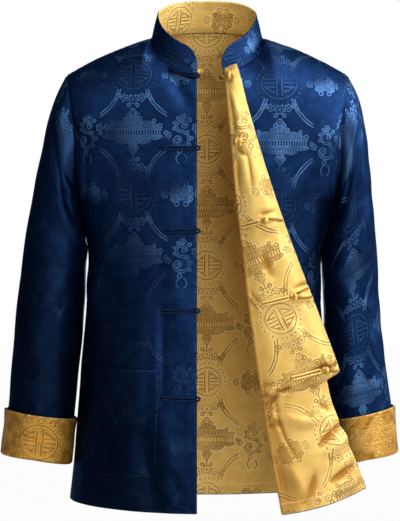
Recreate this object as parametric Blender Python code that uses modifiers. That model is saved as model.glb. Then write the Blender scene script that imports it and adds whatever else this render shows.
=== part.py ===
"""A reversible brocade tang jacket, as a wearer fills it out, with its left front turned back.

Metres, +Z up.  The jacket faces -Y and +X is the wearer's left.  The origin is at the base of
the neck, level with the shoulder seams' inner ends, where the wearer's shoulders carry it.
Each cloth piece is an open surface lofted through the sections below and given its wall by
Solidify; the cords are curves; the ball knots are spheres.
"""

from collections import namedtuple

import bmesh
import bpy
import numpy as np

# ---------------------------------------------------------------- driving dimensions
CLOTH = 0.0020  # wall of the two brocade layers together
SEAM_GAP = 0.0004  # between the cut edges of two panels
SIDE_Y = 0.004  # side seam and shoulder seam, behind the neck's centre
SQUARENESS = 0.87  # exponent of a body section; 1 is an ellipse
RIGHT, LEFT = -1, 1  # sides of the wearer, and the sign of X there

NECK_HALF_WIDTH = 0.091
NECK_FRONT_DROP, NECK_FRONT_REACH = 0.063, 0.099
NECK_BACK_RISE, NECK_BACK_REACH = 0.022, 0.078
SHOULDER_TIP = (0.2235, -0.0580)  # x, z
SHOULDER_CROWN = 0.005  # how far the shoulder seam bows up
ARMPIT = (0.2035, -0.2620)
ARMHOLE_MIDDLE = (0.2060, -0.1650)
ARMHOLE_FRONT, ARMHOLE_BACK = 0.074, 0.080  # reach of the armhole from the side seam

RIGHT_FRONT_EDGE_X = 0.017
FOLD_TOP_X, FOLD_SPREAD, FOLD_POWER = 0.030, 0.088, 1.5  # where the left front turns back
FOLD_RADIUS = 0.0042

# Heights up a panel: 0 at the hem, 1 at the shoulder seam and neckline.
ARMPIT_T, CHEST_T = 0.64, 0.76
NECK_SHARE = 5 / 12  # the share of a panel's columns that ends on the neckline
NECK_TURN, SHOULDER_TURN = np.radians(50), np.radians(90)

Section = namedtuple(
    "Section", "t z_front_right z_front_left z_back z_right z_left half_right half_left front back"
)
BODY = (
    Section(0.00, -0.7415, -0.752, -0.742, -0.732, -0.727, 0.2176, 0.2080, 0.1380, 0.1250),
    Section(0.10, -0.6730, -0.680, -0.674, -0.670, -0.667, 0.2115, 0.1960, 0.1345, 0.1200),
    Section(0.21, -0.5970, -0.600, -0.597, -0.596, -0.593, 0.2055, 0.1895, 0.1310, 0.1140),
    Section(0.34, -0.4990, -0.500, -0.499, -0.498, -0.497, 0.1980, 0.1845, 0.1270, 0.1050),
    Section(0.44, -0.4190, -0.420, -0.419, -0.419, -0.419, 0.1915, 0.1805, 0.1245, 0.0990),
    Section(0.53, -0.3450, -0.345, -0.345, -0.345, -0.345, 0.1890, 0.1825, 0.1240, 0.0980),
    Section(0.64, -0.2620, -0.262, -0.262, -0.262, -0.262, 0.2035, 0.2035, 0.1260, 0.1040),
    Section(0.76, -0.1650, -0.165, -0.165, -0.165, -0.165, 0.2060, 0.2060, 0.1220, 0.1090),
)

Ring = namedtuple("Ring", "r outer_x outer_z inner_x inner_z mid_x mid_z mid_y front back")
SLEEVES = {
    RIGHT: (
        Ring(0.00, 0.2245, -0.0600, 0.2065, -0.2620, 0.2075, -0.1650, 0.004, 0.074, 0.080),
        Ring(0.06, 0.2400, -0.0900, 0.2070, -0.2700, 0.2205, -0.1800, 0.004, 0.077, 0.080),
        Ring(0.14, 0.2530, -0.1300, 0.2050, -0.2850, 0.2290, -0.2080, 0.005, 0.077, 0.078),
        Ring(0.24, 0.2640, -0.1800, 0.2020, -0.3080, 0.2330, -0.2440, 0.006, 0.074, 0.075),
        Ring(0.37, 0.2780, -0.2500, 0.1995, -0.3480, 0.2390, -0.2990, 0.008, 0.070, 0.070),
        Ring(0.50, 0.2910, -0.3280, 0.1990, -0.3980, 0.2450, -0.3630, 0.009, 0.066, 0.066),
        Ring(0.64, 0.3020, -0.4130, 0.2005, -0.4580, 0.2515, -0.4355, 0.006, 0.062, 0.062),
        Ring(0.78, 0.3095, -0.5000, 0.2050, -0.5270, 0.2575, -0.5135, -0.002, 0.057, 0.057),
        Ring(0.90, 0.3160, -0.5880, 0.2130, -0.6050, 0.2645, -0.5965, -0.010, 0.053, 0.053),
        Ring(1.00, 0.3245, -0.6580, 0.2190, -0.6740, 0.2718, -0.6640, -0.014, 0.052, 0.052),
    ),
    LEFT: (
        Ring(0.00, 0.2245, -0.0600, 0.2065, -0.2620, 0.2075, -0.1650, 0.004, 0.074, 0.080),
        Ring(0.06, 0.2400, -0.0900, 0.2070, -0.2700, 0.2200, -0.1800, 0.004, 0.077, 0.080),
        Ring(0.14, 0.2500, -0.1300, 0.2045, -0.2850, 0.2270, -0.2080, 0.005, 0.077, 0.078),
        Ring(0.24, 0.2570, -0.1800, 0.2005, -0.3080, 0.2290, -0.2440, 0.006, 0.075, 0.076),
        Ring(0.37, 0.2630, -0.2500, 0.1955, -0.3480, 0.2290, -0.2990, 0.008, 0.072, 0.072),
        Ring(0.50, 0.2680, -0.3280, 0.1900, -0.3980, 0.2290, -0.3630, 0.009, 0.069, 0.069),
        Ring(0.64, 0.2745, -0.4130, 0.1880, -0.4580, 0.2310, -0.4355, 0.006, 0.065, 0.065),
        Ring(0.78, 0.2820, -0.5000, 0.1905, -0.5300, 0.2360, -0.5150, -0.002, 0.060, 0.060),
        Ring(0.90, 0.2925, -0.5850, 0.1975, -0.6080, 0.2450, -0.5965, -0.010, 0.056, 0.056),
        Ring(1.00, 0.3000, -0.6560, 0.2030, -0.6760, 0.2515, -0.6630, -0.014, 0.055, 0.055),
    ),
}

# The turned-back front's free edge, neck to hem, as one line; below STEP_T it is tucked in.
Edge = namedtuple("Edge", "t x y z")
FLAP_EDGE = (
    Edge(0.00, 0.2702, -0.0980, -0.7067),
    Edge(0.10, 0.2479, -0.1010, -0.6500),
    Edge(0.21, 0.2153, -0.1040, -0.5680),
    Edge(0.27, 0.2050, -0.1070, -0.5258),
    Edge(0.34, 0.1855, -0.1110, -0.4720),
    Edge(0.44, 0.1566, -0.1180, -0.3980),
    Edge(0.53, 0.1292, -0.1245, -0.3270),
    Edge(0.64, 0.1005, -0.1310, -0.2450),
    Edge(0.76, 0.0717, -0.1310, -0.1520),
    Edge(1.00, 0.0461, -0.1040, -0.0490),
)
STEP_T, STEP_HALF, STEP_TUCK, STEP_SINK = 0.262, 0.010, 0.024, 0.005
FLAP_BOW, FLAP_HEM_BOW = 0.005, 0.005  # how far the flap bellies forward, and its hem down

# Soft folds: where each is centred, how it runs, and how far it lifts the cloth.
Fold = namedtuple("Fold", "u v run_u run_v width lift")
BODY_FOLDS = {
    RIGHT: (
        Fold(0.62, 0.52, 0.22, -0.16, 0.050, 0.0035),
        Fold(0.80, 0.60, 0.10, -0.14, 0.040, -0.0035),
        Fold(0.30, 0.28, 0.05, -0.24, 0.060, 0.0030),
        Fold(0.66, 0.16, 0.04, -0.16, 0.055, 0.0035),
    ),
    LEFT: (
        Fold(0.60, 0.54, 0.24, -0.15, 0.050, 0.0035),
        Fold(0.82, 0.60, 0.08, -0.12, 0.040, -0.0030),
        Fold(0.55, 0.22, 0.05, -0.20, 0.060, 0.0030),
    ),
}
BACK_FOLDS = (
    Fold(-0.55, 0.52, 0.20, 0.12, 0.060, 0.0035),
    Fold(0.52, 0.50, 0.18, -0.12, 0.060, 0.0035),
    Fold(-0.30, 0.18, 0.03, 0.16, 0.070, 0.0045),
    Fold(0.28, 0.20, 0.04, 0.18, 0.070, 0.0045),
    Fold(0.02, 0.72, 0.02, 0.12, 0.060, -0.0030),
)
SLEEVE_FOLDS = {
    RIGHT: (
        Fold(0.30, 0.20, 0.16, 0.07, 0.035, -0.0050),
        Fold(0.36, 0.30, 0.14, 0.05, 0.040, 0.0045),
        Fold(0.18, 0.52, 0.14, -0.05, 0.035, -0.0040),
        Fold(0.80, 0.55, 0.16, 0.05, 0.035, -0.0050),
        Fold(0.22, 0.76, 0.14, 0.05, 0.040, 0.0035),
        Fold(0.72, 0.28, 0.14, -0.06, 0.040, -0.0040),
    ),
    LEFT: (
        Fold(0.30, 0.18, 0.16, 0.07, 0.035, -0.0050),
        Fold(0.34, 0.36, 0.12, -0.04, 0.040, -0.0050),
        Fold(0.30, 0.47, 0.14, 0.05, 0.035, 0.0045),
        Fold(0.78, 0.56, 0.16, 0.05, 0.035, -0.0050),
        Fold(0.22, 0.72, 0.14, -0.05, 0.040, 0.0035),
        Fold(0.70, 0.30, 0.14, -0.06, 0.040, -0.0040),
    ),
}

CUFF_DEPTH = 0.067
CuffRow = namedtuple("CuffRow", "below outward")  # past the sleeve's end, and off its surface
CUFF = (
    CuffRow(0.0020, -0.0010),
    CuffRow(0.0024, 0.0012),
    CuffRow(0.0006, 0.0032),
    CuffRow(-0.0060, 0.0036),
    CuffRow(-0.0280, 0.0038),
    CuffRow(-0.0500, 0.0042),
    CuffRow(-CUFF_DEPTH, 0.0052),
)

COLLAR_WALL = 0.0024
COLLAR_LEAN = 0.0100  # how far its top stands in from its base
COLLAR_END_RADIUS = 0.024
COLLAR_LEFT_END_X = 0.0250
CollarRise = namedtuple("CollarRise", "degrees rise")
COLLAR = (
    CollarRise(0, 0.0370),
    CollarRise(45, 0.0425),
    CollarRise(90, 0.0420),
    CollarRise(135, 0.0478),
    CollarRise(180, 0.0480),
)
COLLAR_DROP, COLLAR_INSET = 0.0010, 0.0032  # its base, below and inside the neckline

POCKET_WALL = 0.0012
POCKET_T = (0.07, 0.31)  # the panel's own rows and columns inside these limits
POCKET_SPAN = {RIGHT: (0.17, 0.76), LEFT: (0.11, 0.76)}
POCKET_GAP = 0.0004

CORD_RADIUS = 0.0016
CORD_SPACING = 0.0042  # between the two runs of a doubled cord
RightFrog = namedtuple("RightFrog", "z length knot_out knot_up knot_behind")
RIGHT_FROGS = (
    RightFrog(-0.0690, 0.047, 0.0056, 0.0075, 0.0025),
    RightFrog(-0.1810, 0.054, None, None, None),
    RightFrog(-0.3087, 0.051, None, None, None),
    RightFrog(-0.4316, 0.052, None, None, None),
    RightFrog(-0.5670, 0.054, 0.0030, 0.0170, 0.0068),
)
LOOP_REACH = 0.0050  # past the front's edge
KNOT_RADIUS = 0.0052
FlapFrog = namedtuple("FlapFrog", "t knot_in knot_radius strip loops")  # in from the free edge
FLAP_FROGS = (
    FlapFrog(0.948, 0.0135, 0.0072, 0.000, 0),
    FlapFrog(0.745, 0.0270, 0.0078, 0.000, 0),
    FlapFrog(0.588, 0.0290, 0.0062, 0.036, 1),
    FlapFrog(0.434, 0.0300, 0.0060, 0.040, 2),
    FlapFrog(0.281, 0.0240, 0.0060, 0.046, 2),
)
FOLD_KNOT_T, FOLD_KNOT_RADIUS = 0.962, 0.0040  # the small knot against the fold

# ---------------------------------------------------------------- mesh resolution
BODY_ROWS, NECK_COLUMNS, SHOULDER_COLUMNS = 27, 7, 7
FLAP_COLUMNS, FOLD_STEPS = 8, 3
SLEEVE_ROWS, SLEEVE_SIDES = 22, 22
COLLAR_END_COLUMNS, COLLAR_COLUMNS, COLLAR_ROWS = 7, 28, 4


# ---------------------------------------------------------------- curves and tables
def columns(table, *names):
    """The named columns of a table, as an array of one row for each of its rows."""
    return np.array([[getattr(row, name) for name in names] for row in table])


def through(at, knots, values):
    """A smooth cubic through a table's rows, read at each of the values in at."""
    at, knots = np.asarray(at, float), np.asarray(knots, float)
    slopes = np.gradient(values, knots, axis=0)
    low = np.clip(np.searchsorted(knots, at, side="right") - 1, 0, len(knots) - 2)
    step = knots[low + 1] - knots[low]
    f = ((at - knots[low]) / step)[..., None]
    step = step[..., None]
    return (
        values[low] * (1 + 2 * f) * (1 - f) ** 2
        + slopes[low] * step * f * (1 - f) ** 2
        + values[low + 1] * f * f * (3 - 2 * f)
        + slopes[low + 1] * step * f * f * (f - 1)
    )


def points(x, y, z):
    """Three coordinate arrays as one array of points."""
    return np.stack(np.broadcast_arrays(x, y, z), axis=-1)


def neckline(angle):
    """The neck seam: 0 at the front, a quarter turn at the wearer's left, a half at the back."""
    ahead = np.cos(angle)
    reach = np.where(ahead > 0, NECK_FRONT_REACH, NECK_BACK_REACH)
    climb = np.where(ahead > 0, NECK_FRONT_DROP, NECK_BACK_RISE)
    return points(NECK_HALF_WIDTH * np.sin(angle), SIDE_Y - reach * ahead, -climb * ahead)


def armhole(lift, reach):
    """The armhole on one face: lift -1 is the armpit, 0 its middle and 1 the shoulder tip."""
    end_x = np.where(lift > 0, SHOULDER_TIP[0], ARMPIT[0])
    end_z = np.where(lift > 0, SHOULDER_TIP[1], ARMPIT[1])
    share = np.abs(lift)
    x = ARMHOLE_MIDDLE[0] + share * (end_x - ARMHOLE_MIDDLE[0])
    z = ARMHOLE_MIDDLE[1] + share * (end_z - ARMHOLE_MIDDLE[1])
    return points(x, SIDE_Y + reach * np.sqrt(np.clip(1 - lift**2, 0, 1)), z)


def body_row(side, face, edge_x, s, t):
    """A body section up to the chest: a quarter of a squared ellipse from the front or back
    centre round to the side seam or armhole, from edge_x outwards, at heights t."""
    hand = "right" if side == RIGHT else "left"
    names = [f"half_{hand}", f"z_{hand}"]
    names += [f"z_front_{hand}", "front"] if face < 0 else ["z_back", "back"]
    sections = through(t, columns(BODY, "t")[:, 0], columns(BODY, *names))
    half, z_side, z_mid, reach = np.moveaxis(sections, -1, 0)
    lift = np.sin(np.pi / 2 * np.clip((t - CHEST_T) / (CHEST_T - ARMPIT_T), -1, 0))
    seat = armhole(lift, face * (ARMHOLE_FRONT if face < 0 else ARMHOLE_BACK))
    side_seam = points(half, SIDE_Y, z_side)
    outer = np.where((t <= ARMPIT_T)[..., None], side_seam, seat)
    outer_x, outer_y, outer_z = np.moveaxis(outer, -1, 0)
    start = np.arcsin(np.clip(edge_x / outer_x, 0, 1) ** (1 / SQUARENESS))
    angle = start + s * (np.pi / 2 - start)
    across = np.sin(angle) ** SQUARENESS
    ahead = np.clip(np.cos(angle), 0, 1) ** SQUARENESS
    return points(
        outer_x * across,
        outer_y + (face * reach - outer_y) * ahead,
        z_mid + (outer_z - z_mid) * across**2,
    )


def top_row(face, start_angle, s):
    """The panel's top edge: along the neckline to the side of the neck, then the shoulder seam."""
    on_neck = np.clip(s / NECK_SHARE, 0, 1)
    side_angle = np.pi / 2
    seam = neckline(start_angle + on_neck * (side_angle - start_angle))
    along = np.clip((s - NECK_SHARE) / (1 - NECK_SHARE), 0, 1)
    neck_point = neckline(np.array(side_angle))
    tip = np.array([SHOULDER_TIP[0], SIDE_Y, SHOULDER_TIP[1]])
    shoulder = neck_point + along[..., None] * (tip - neck_point)
    shoulder[..., 2] += SHOULDER_CROWN * np.sin(np.pi * along)
    return np.where((s <= NECK_SHARE)[..., None], seam, shoulder)


def panel(side, face, edge_x, s, t):
    """A body panel's smooth surface.  s runs from its centre edge to its side, t up it."""
    s, t = np.broadcast_arrays(np.asarray(s, float), np.asarray(t, float))
    low = body_row(side, face, edge_x(np.minimum(t, CHEST_T)), s, np.minimum(t, CHEST_T))
    start = np.arcsin(float(edge_x(np.array(1.0))) / NECK_HALF_WIDTH)
    top = top_row(face, start if face < 0 else np.pi - start, s)
    over = np.clip((t - CHEST_T) / (1 - CHEST_T), 0, 1)
    near = np.clip(s / NECK_SHARE, 0, 1)
    turn = NECK_TURN + (SHOULDER_TURN - NECK_TURN) * near * near * (3 - 2 * near)
    rise = (np.sin(over * turn) / np.sin(turn))[..., None]
    ahead = (np.cos(over * turn) - np.cos(turn)) / (1 - np.cos(turn))
    surface = low + rise * (top - low)
    surface[..., 1] = top[..., 1] + ahead * (low[..., 1] - top[..., 1])
    surface[..., 1] += face * SEAM_GAP * np.maximum(s, over) ** 8  # clear of the seam's line
    return surface * np.array([side, 1, 1])


def right_edge_x(t):
    """The right front hangs with a straight edge."""
    return np.full_like(np.asarray(t, float), RIGHT_FRONT_EDGE_X)


def fold_x(t):
    """Where the left front turns back: further from the centre towards the hem."""
    return FOLD_TOP_X + FOLD_SPREAD * (1 - np.asarray(t, float)) ** FOLD_POWER


def centre_x(t):
    """The back's own centre line."""
    return np.zeros_like(np.asarray(t, float))


def lift_of(folds, u, v, wraps=False):
    """How far the soft folds lift the cloth: each is a ridge or trough that fades at its ends."""
    lift = np.zeros(np.broadcast(u, v).shape)
    for fold in folds:
        du, dv = u - fold.u, v - fold.v
        if wraps:
            du = du - np.round(du)
        length = np.hypot(fold.run_u, fold.run_v)
        along = (du * fold.run_u + dv * fold.run_v) / length
        across = (du * fold.run_v - dv * fold.run_u) / length
        lift += fold.lift * np.exp(-((along / length) ** 2) - (across / fold.width) ** 2)
    return lift


def with_folds(surface, folds, u, v, out, wraps=False):
    """A surface function's points moved along its normals by its soft folds.  The folds fade
    out at the panel's edges, so that its seams stay on their lines."""
    step = 1e-3
    du = surface(u + step, v) - surface(u - step, v)
    dv = surface(u, v + step) - surface(u, v - step)
    normal = np.cross(du, dv) * out
    normal /= np.maximum(np.linalg.norm(normal, axis=-1, keepdims=True), 1e-9)
    fade = np.clip(np.minimum(v, 1 - v) / 0.05, 0, 1)
    if not wraps:
        fade = fade * np.clip((1 - np.abs(u)) / 0.10, 0, 1)
    lift = lift_of(folds, u, v, wraps) * fade
    return surface(u, v) + normal * lift[..., None], normal


def front(side, s, t):
    """The front's finished surface and its outward normals."""
    edge = right_edge_x if side == RIGHT else fold_x
    return with_folds(
        lambda a, b: panel(side, -1, edge, a, b), BODY_FOLDS[side], s, t, out=side
    )


def back(s, t):
    """The back's finished surface: s is -1 at the right side seam and 1 at the left."""

    def smooth(a, b):
        left = panel(LEFT, 1, centre_x, np.abs(a), b)
        right = panel(RIGHT, 1, centre_x, np.abs(a), b)
        return np.where((a < 0)[..., None], right, left)

    return with_folds(smooth, BACK_FOLDS, s, t, out=-1)


def sleeve(side, turn, r):
    """A sleeve's finished surface.  turn goes once round from the outside by the front; r runs
    down it from the armhole."""
    table = SLEEVES[side]

    def smooth(a, b):
        a, b = np.broadcast_arrays(np.asarray(a, float), np.asarray(b, float))
        names = Ring._fields[1:]
        cells = np.moveaxis(through(b, columns(table, "r")[:, 0], columns(table, *names)), -1, 0)
        outer_x, outer_z, inner_x, inner_z, mid_x, mid_z, mid_y, ahead, behind = cells
        lift, reach = np.cos(2 * np.pi * a), np.sin(2 * np.pi * a)
        out, fore = np.maximum(lift, 0), np.maximum(reach, 0)
        inward, aft = np.maximum(-lift, 0), np.maximum(-reach, 0)
        x = mid_x + out * (outer_x - mid_x) + inward * (inner_x - mid_x)
        z = mid_z + out * (outer_z - mid_z) + inward * (inner_z - mid_z)
        return points(side * x, mid_y - ahead * fore + behind * aft, z)

    return with_folds(smooth, SLEEVE_FOLDS[side], turn, r, out=side, wraps=True)


def flap(share, t):
    """The turned-back front: share 0 is just past the fold and 1 the free edge."""
    share, t = np.broadcast_arrays(np.asarray(share, float), np.asarray(t, float))
    turned, normal = front(LEFT, np.zeros_like(t), t)
    start = turned + normal * (2 * FOLD_RADIUS)
    edge = through(t, columns(FLAP_EDGE, "t")[:, 0], columns(FLAP_EDGE, "x", "y", "z"))
    tucked = np.clip((STEP_T + STEP_HALF - t) / (2 * STEP_HALF), 0, 1)
    edge[..., 0] -= STEP_TUCK * tucked
    edge[..., 1] += STEP_SINK * tucked
    surface = start + share[..., None] * (edge - start)
    surface[..., 1] -= FLAP_BOW * np.sin(np.pi * share) * np.clip((1 - t) / 0.3, 0, 1)
    surface[..., 2] -= FLAP_HEM_BOW * np.sin(np.pi * share) * np.clip(1 - t / 0.1, 0, 1)
    return surface


# ---------------------------------------------------------------- Blender objects
def new_material(name, colour, roughness):
    """A Principled material of one plain colour."""
    material = bpy.data.materials.new(name)
    material.use_nodes = True
    shader = material.node_tree.nodes["Principled BSDF"]
    shader.inputs["Base Color"].default_value = (*colour, 1.0)
    shader.inputs["Roughness"].default_value = roughness
    shader.inputs["Metallic"].default_value = 0.0
    return material


def grid_object(name, grid, material, collection, wall, closed=False, flip=False):
    """An open cloth surface through a grid of points, with its wall made by Solidify."""
    rows, across = grid.shape[:2]
    faces = []
    for row in range(rows - 1):
        for column in range(across if closed else across - 1):
            beside = (column + 1) % across
            corners = (
                row * across + column,
                row * across + beside,
                (row + 1) * across + beside,
                (row + 1) * across + column,
            )
            faces.append(corners[::-1] if flip else corners)
    mesh = bpy.data.meshes.new(name)
    mesh.from_pydata([tuple(p) for p in grid.reshape(-1, 3)], [], faces)
    mesh.materials.append(material)
    mesh.shade_smooth()
    obj = bpy.data.objects.new(name, mesh)
    collection.objects.link(obj)
    solid = obj.modifiers.new("wall", "SOLIDIFY")
    solid.thickness = wall
    solid.offset = 0.0
    solid.use_even_offset = True
    solid.use_rim = True
    return obj


def cord_object(name, path, radius, material, collection):
    """A cord: a poly curve through the points of its route, with a round bevel."""
    curve = bpy.data.curves.new(name, "CURVE")
    curve.dimensions = "3D"
    curve.bevel_depth = radius
    curve.bevel_resolution = 1
    curve.use_fill_caps = True
    spline = curve.splines.new("POLY")
    spline.points.add(len(path) - 1)
    for point, place in zip(spline.points, path):
        point.co = (*place, 1.0)
    curve.materials.append(material)
    obj = bpy.data.objects.new(name, curve)
    collection.objects.link(obj)
    return obj


def knot_object(name, centre, radius, material, collection):
    """A ball knot, plain and round."""
    mesh = bpy.data.meshes.new(name)
    ball = bmesh.new()
    bmesh.ops.create_uvsphere(ball, u_segments=10, v_segments=7, radius=radius)
    ball.to_mesh(mesh)
    ball.free()
    mesh.materials.append(material)
    mesh.shade_smooth()
    obj = bpy.data.objects.new(name, mesh)
    obj.location = centre
    collection.objects.link(obj)
    return obj


# ---------------------------------------------------------------- the jacket's pieces
def panel_columns():
    """The columns of a front, and of half the back: finer beside the neck."""
    beside_neck = np.linspace(0, NECK_SHARE, NECK_COLUMNS + 1)
    return np.append(beside_neck, np.linspace(NECK_SHARE, 1, SHOULDER_COLUMNS + 1)[1:])


def panel_rows(side):
    """The rows of a panel; the left front has a pair of them at the flap's step."""
    rows = np.linspace(0, 1, BODY_ROWS)
    if side == LEFT:
        clear = np.abs(rows - STEP_T) > 2 * STEP_HALF
        rows = np.sort(np.append(rows[clear], [STEP_T - STEP_HALF, STEP_T + STEP_HALF]))
    return rows


def make_body(navy, collection):
    """The back, the right front and the left front with its turned-back part."""
    across = panel_columns()
    s, t = np.meshgrid(np.append(-across[:0:-1], across), panel_rows(RIGHT))
    grid_object("back", back(s, t)[0], navy, collection, CLOTH)

    s, t = np.meshgrid(across, panel_rows(RIGHT))
    grid_object("front_right", front(RIGHT, s, t)[0], navy, collection, CLOTH)

    rows = panel_rows(LEFT)
    s, t = np.meshgrid(across, rows)
    body, normal = front(LEFT, s, t)
    share, t = np.meshgrid(np.linspace(1, 0, FLAP_COLUMNS + 1), rows)
    turned = flap(share, t)
    centre = body[:, :1] + normal[:, :1] * FOLD_RADIUS
    inward = body[:, :1] - body[:, 1:2]
    inward /= np.linalg.norm(inward, axis=-1, keepdims=True)
    bend = (np.arange(1, FOLD_STEPS + 1) / (FOLD_STEPS + 1) * np.pi)[None, :, None]
    arc = centre + FOLD_RADIUS * (normal[:, :1] * np.cos(bend) + inward * np.sin(bend))
    grid_object(
        "front_left",
        np.concatenate([turned, arc, body], axis=1),
        navy,
        collection,
        CLOTH,
        flip=True,
    )


def make_sleeves(navy, gold, collection):
    """Both sleeves, and both turned-up cuffs hooked round the sleeves' ends."""
    turns = np.arange(SLEEVE_SIDES) / SLEEVE_SIDES
    for side, name in ((RIGHT, "right"), (LEFT, "left")):
        turn, r = np.meshgrid(turns, np.linspace(0, 1, SLEEVE_ROWS))
        grid, _ = sleeve(side, turn, r)
        flip = side == RIGHT
        grid_object(f"sleeve_{name}", grid, navy, collection, CLOTH, closed=True, flip=flip)
        length = sleeve_length(side)
        turn, below = np.meshgrid(turns, columns(CUFF, "below")[:, 0])
        outward = columns(CUFF, "outward")[:, 0][:, None, None]
        base, normal = sleeve(side, turn, 1 + below / length)
        grid_object(
            f"cuff_{name}",
            base + normal * outward,
            gold,
            collection,
            CLOTH,
            closed=True,
            flip=not flip,
        )


def sleeve_length(side):
    """The sleeve's length for one unit of r, near its end."""
    middle = columns(SLEEVES[side], "mid_x", "mid_z")[-2:]
    share = SLEEVES[side][-1].r - SLEEVES[side][-2].r
    return np.linalg.norm(middle[1] - middle[0]) / share


def make_collar(navy, collection):
    """The stand collar, with its two round front ends."""
    left_end = np.arcsin(COLLAR_LEFT_END_X / NECK_HALF_WIDTH)
    right_end = 2 * np.pi - np.arcsin(RIGHT_FRONT_EDGE_X / NECK_HALF_WIDTH)
    corner = 1 - np.cos(np.linspace(0, np.pi / 2, COLLAR_END_COLUMNS))
    corner *= COLLAR_END_RADIUS / NECK_FRONT_REACH
    middle = np.linspace(left_end + corner[-1], right_end - corner[-1], COLLAR_COLUMNS)
    angle = np.concatenate([left_end + corner, middle[1:-1], (right_end - corner)[::-1]])
    base = neckline(angle)
    inward = -base * np.array([1, 1, 0])
    inward[:, 1] += SIDE_Y
    inward /= np.linalg.norm(inward, axis=-1, keepdims=True)
    base = base + inward * COLLAR_INSET
    base[:, 2] -= COLLAR_DROP
    folded = np.degrees(np.abs(np.mod(angle + np.pi, 2 * np.pi) - np.pi))
    rise = through(folded, columns(COLLAR, "degrees")[:, 0], columns(COLLAR, "rise"))[:, 0]
    steps = np.linalg.norm(np.diff(base, axis=0), axis=-1)
    from_left = np.append(0, np.cumsum(steps))
    from_end = np.minimum(from_left, from_left[-1] - from_left)
    inside = np.clip(COLLAR_END_RADIUS - from_end, 0, COLLAR_END_RADIUS)
    height = rise - COLLAR_END_RADIUS + np.sqrt(COLLAR_END_RADIUS**2 - inside**2)
    share = np.linspace(0, 1, COLLAR_ROWS + 1)[:, None, None]
    top = inward * (COLLAR_LEAN * height / rise)[:, None]
    top[:, 2] += height
    grid_object("collar", base + share * top, navy, collection, COLLAR_WALL)


def make_pockets(navy, collection):
    """A patch pocket on each front, made from the front's own points moved out."""
    for side, name in ((RIGHT, "right"), (LEFT, "left")):
        across, rows = panel_columns(), panel_rows(side)
        within = np.abs(across - np.mean(POCKET_SPAN[side])) < np.ptp(POCKET_SPAN[side]) / 2
        s, t = np.meshgrid(across[within], rows[np.abs(rows - np.mean(POCKET_T)) < np.ptp(POCKET_T) / 2])
        base, normal = front(side, s, t)
        off = CLOTH / 2 + POCKET_GAP + POCKET_WALL / 2
        grid_object(
            f"pocket_{name}",
            base + normal * off,
            navy,
            collection,
            POCKET_WALL,
            flip=side == LEFT,
        )


def hairpin(length, reach):
    """A doubled cord's route on a flat sheet: in along one run, round an eye, and back.
    The first number is the distance along it and the second the distance across."""
    eye = 0.6 * CORD_SPACING
    turn = np.linspace(-0.62 * np.pi, 0.62 * np.pi, 9)
    round_eye = np.stack([reach - eye + eye * np.cos(turn), eye * np.sin(turn)], axis=-1)
    run = np.stack([np.linspace(-length, reach - 0.009, 5), np.full(5, -CORD_SPACING / 2)], -1)
    return np.concatenate([run, round_eye, run[::-1] * np.array([1, -1])])


def on_sheet(surface, t, distance, across, off):
    """Points laid on a cloth surface: distance along its row t from the row's start, across
    it up the row, and off its outer face.  A distance under 0 runs straight on past the edge."""
    step = 1e-3
    share = np.linspace(0, 1, 80)
    steps = np.linalg.norm(np.diff(surface(share, np.full(80, t)), axis=0), axis=-1)
    share = np.interp(distance, np.append(0, np.cumsum(steps)), share)
    at = np.full_like(share, t)
    place = surface(share, at)
    along = surface(share + step, at) - surface(share, at)
    rise = surface(share, at + step) - surface(share, at - step)
    along /= np.linalg.norm(along, axis=-1, keepdims=True)
    rise /= np.linalg.norm(rise, axis=-1, keepdims=True)
    normal = np.cross(along, rise)
    normal /= -np.sign(normal[..., 1:2]) * np.linalg.norm(normal, axis=-1, keepdims=True)
    past = np.minimum(distance, 0)[:, None]
    return place + along * past + rise * np.asarray(across)[:, None] + normal * off


def make_right_frogs(navy, gold, collection):
    """The right front's five doubled cords with their loops past the edge, and the two gold
    ball knots of its inner side that show against the edge."""

    def surface(s, t):
        return front(RIGHT, s, t)[0]

    rows = np.linspace(0, 1, 400)
    edge = surface(np.zeros_like(rows), rows)
    off = CLOTH / 2 + SEAM_GAP + CORD_RADIUS
    for number, frog in enumerate(RIGHT_FROGS, start=1):
        t = np.interp(frog.z, edge[:, 2], rows)
        route = hairpin(frog.length, LOOP_REACH)
        place = on_sheet(surface, t, -route[:, 0], route[:, 1], off)
        cord_object(f"frog_right_{number}", place, CORD_RADIUS, navy, collection)
        if frog.knot_out is not None:
            at = surface(np.array(0.0), np.array(t))
            centre = at + np.array([frog.knot_out, frog.knot_behind, frog.knot_up])
            knot_object(f"knot_right_{number}", centre, KNOT_RADIUS, gold, collection)


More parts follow.
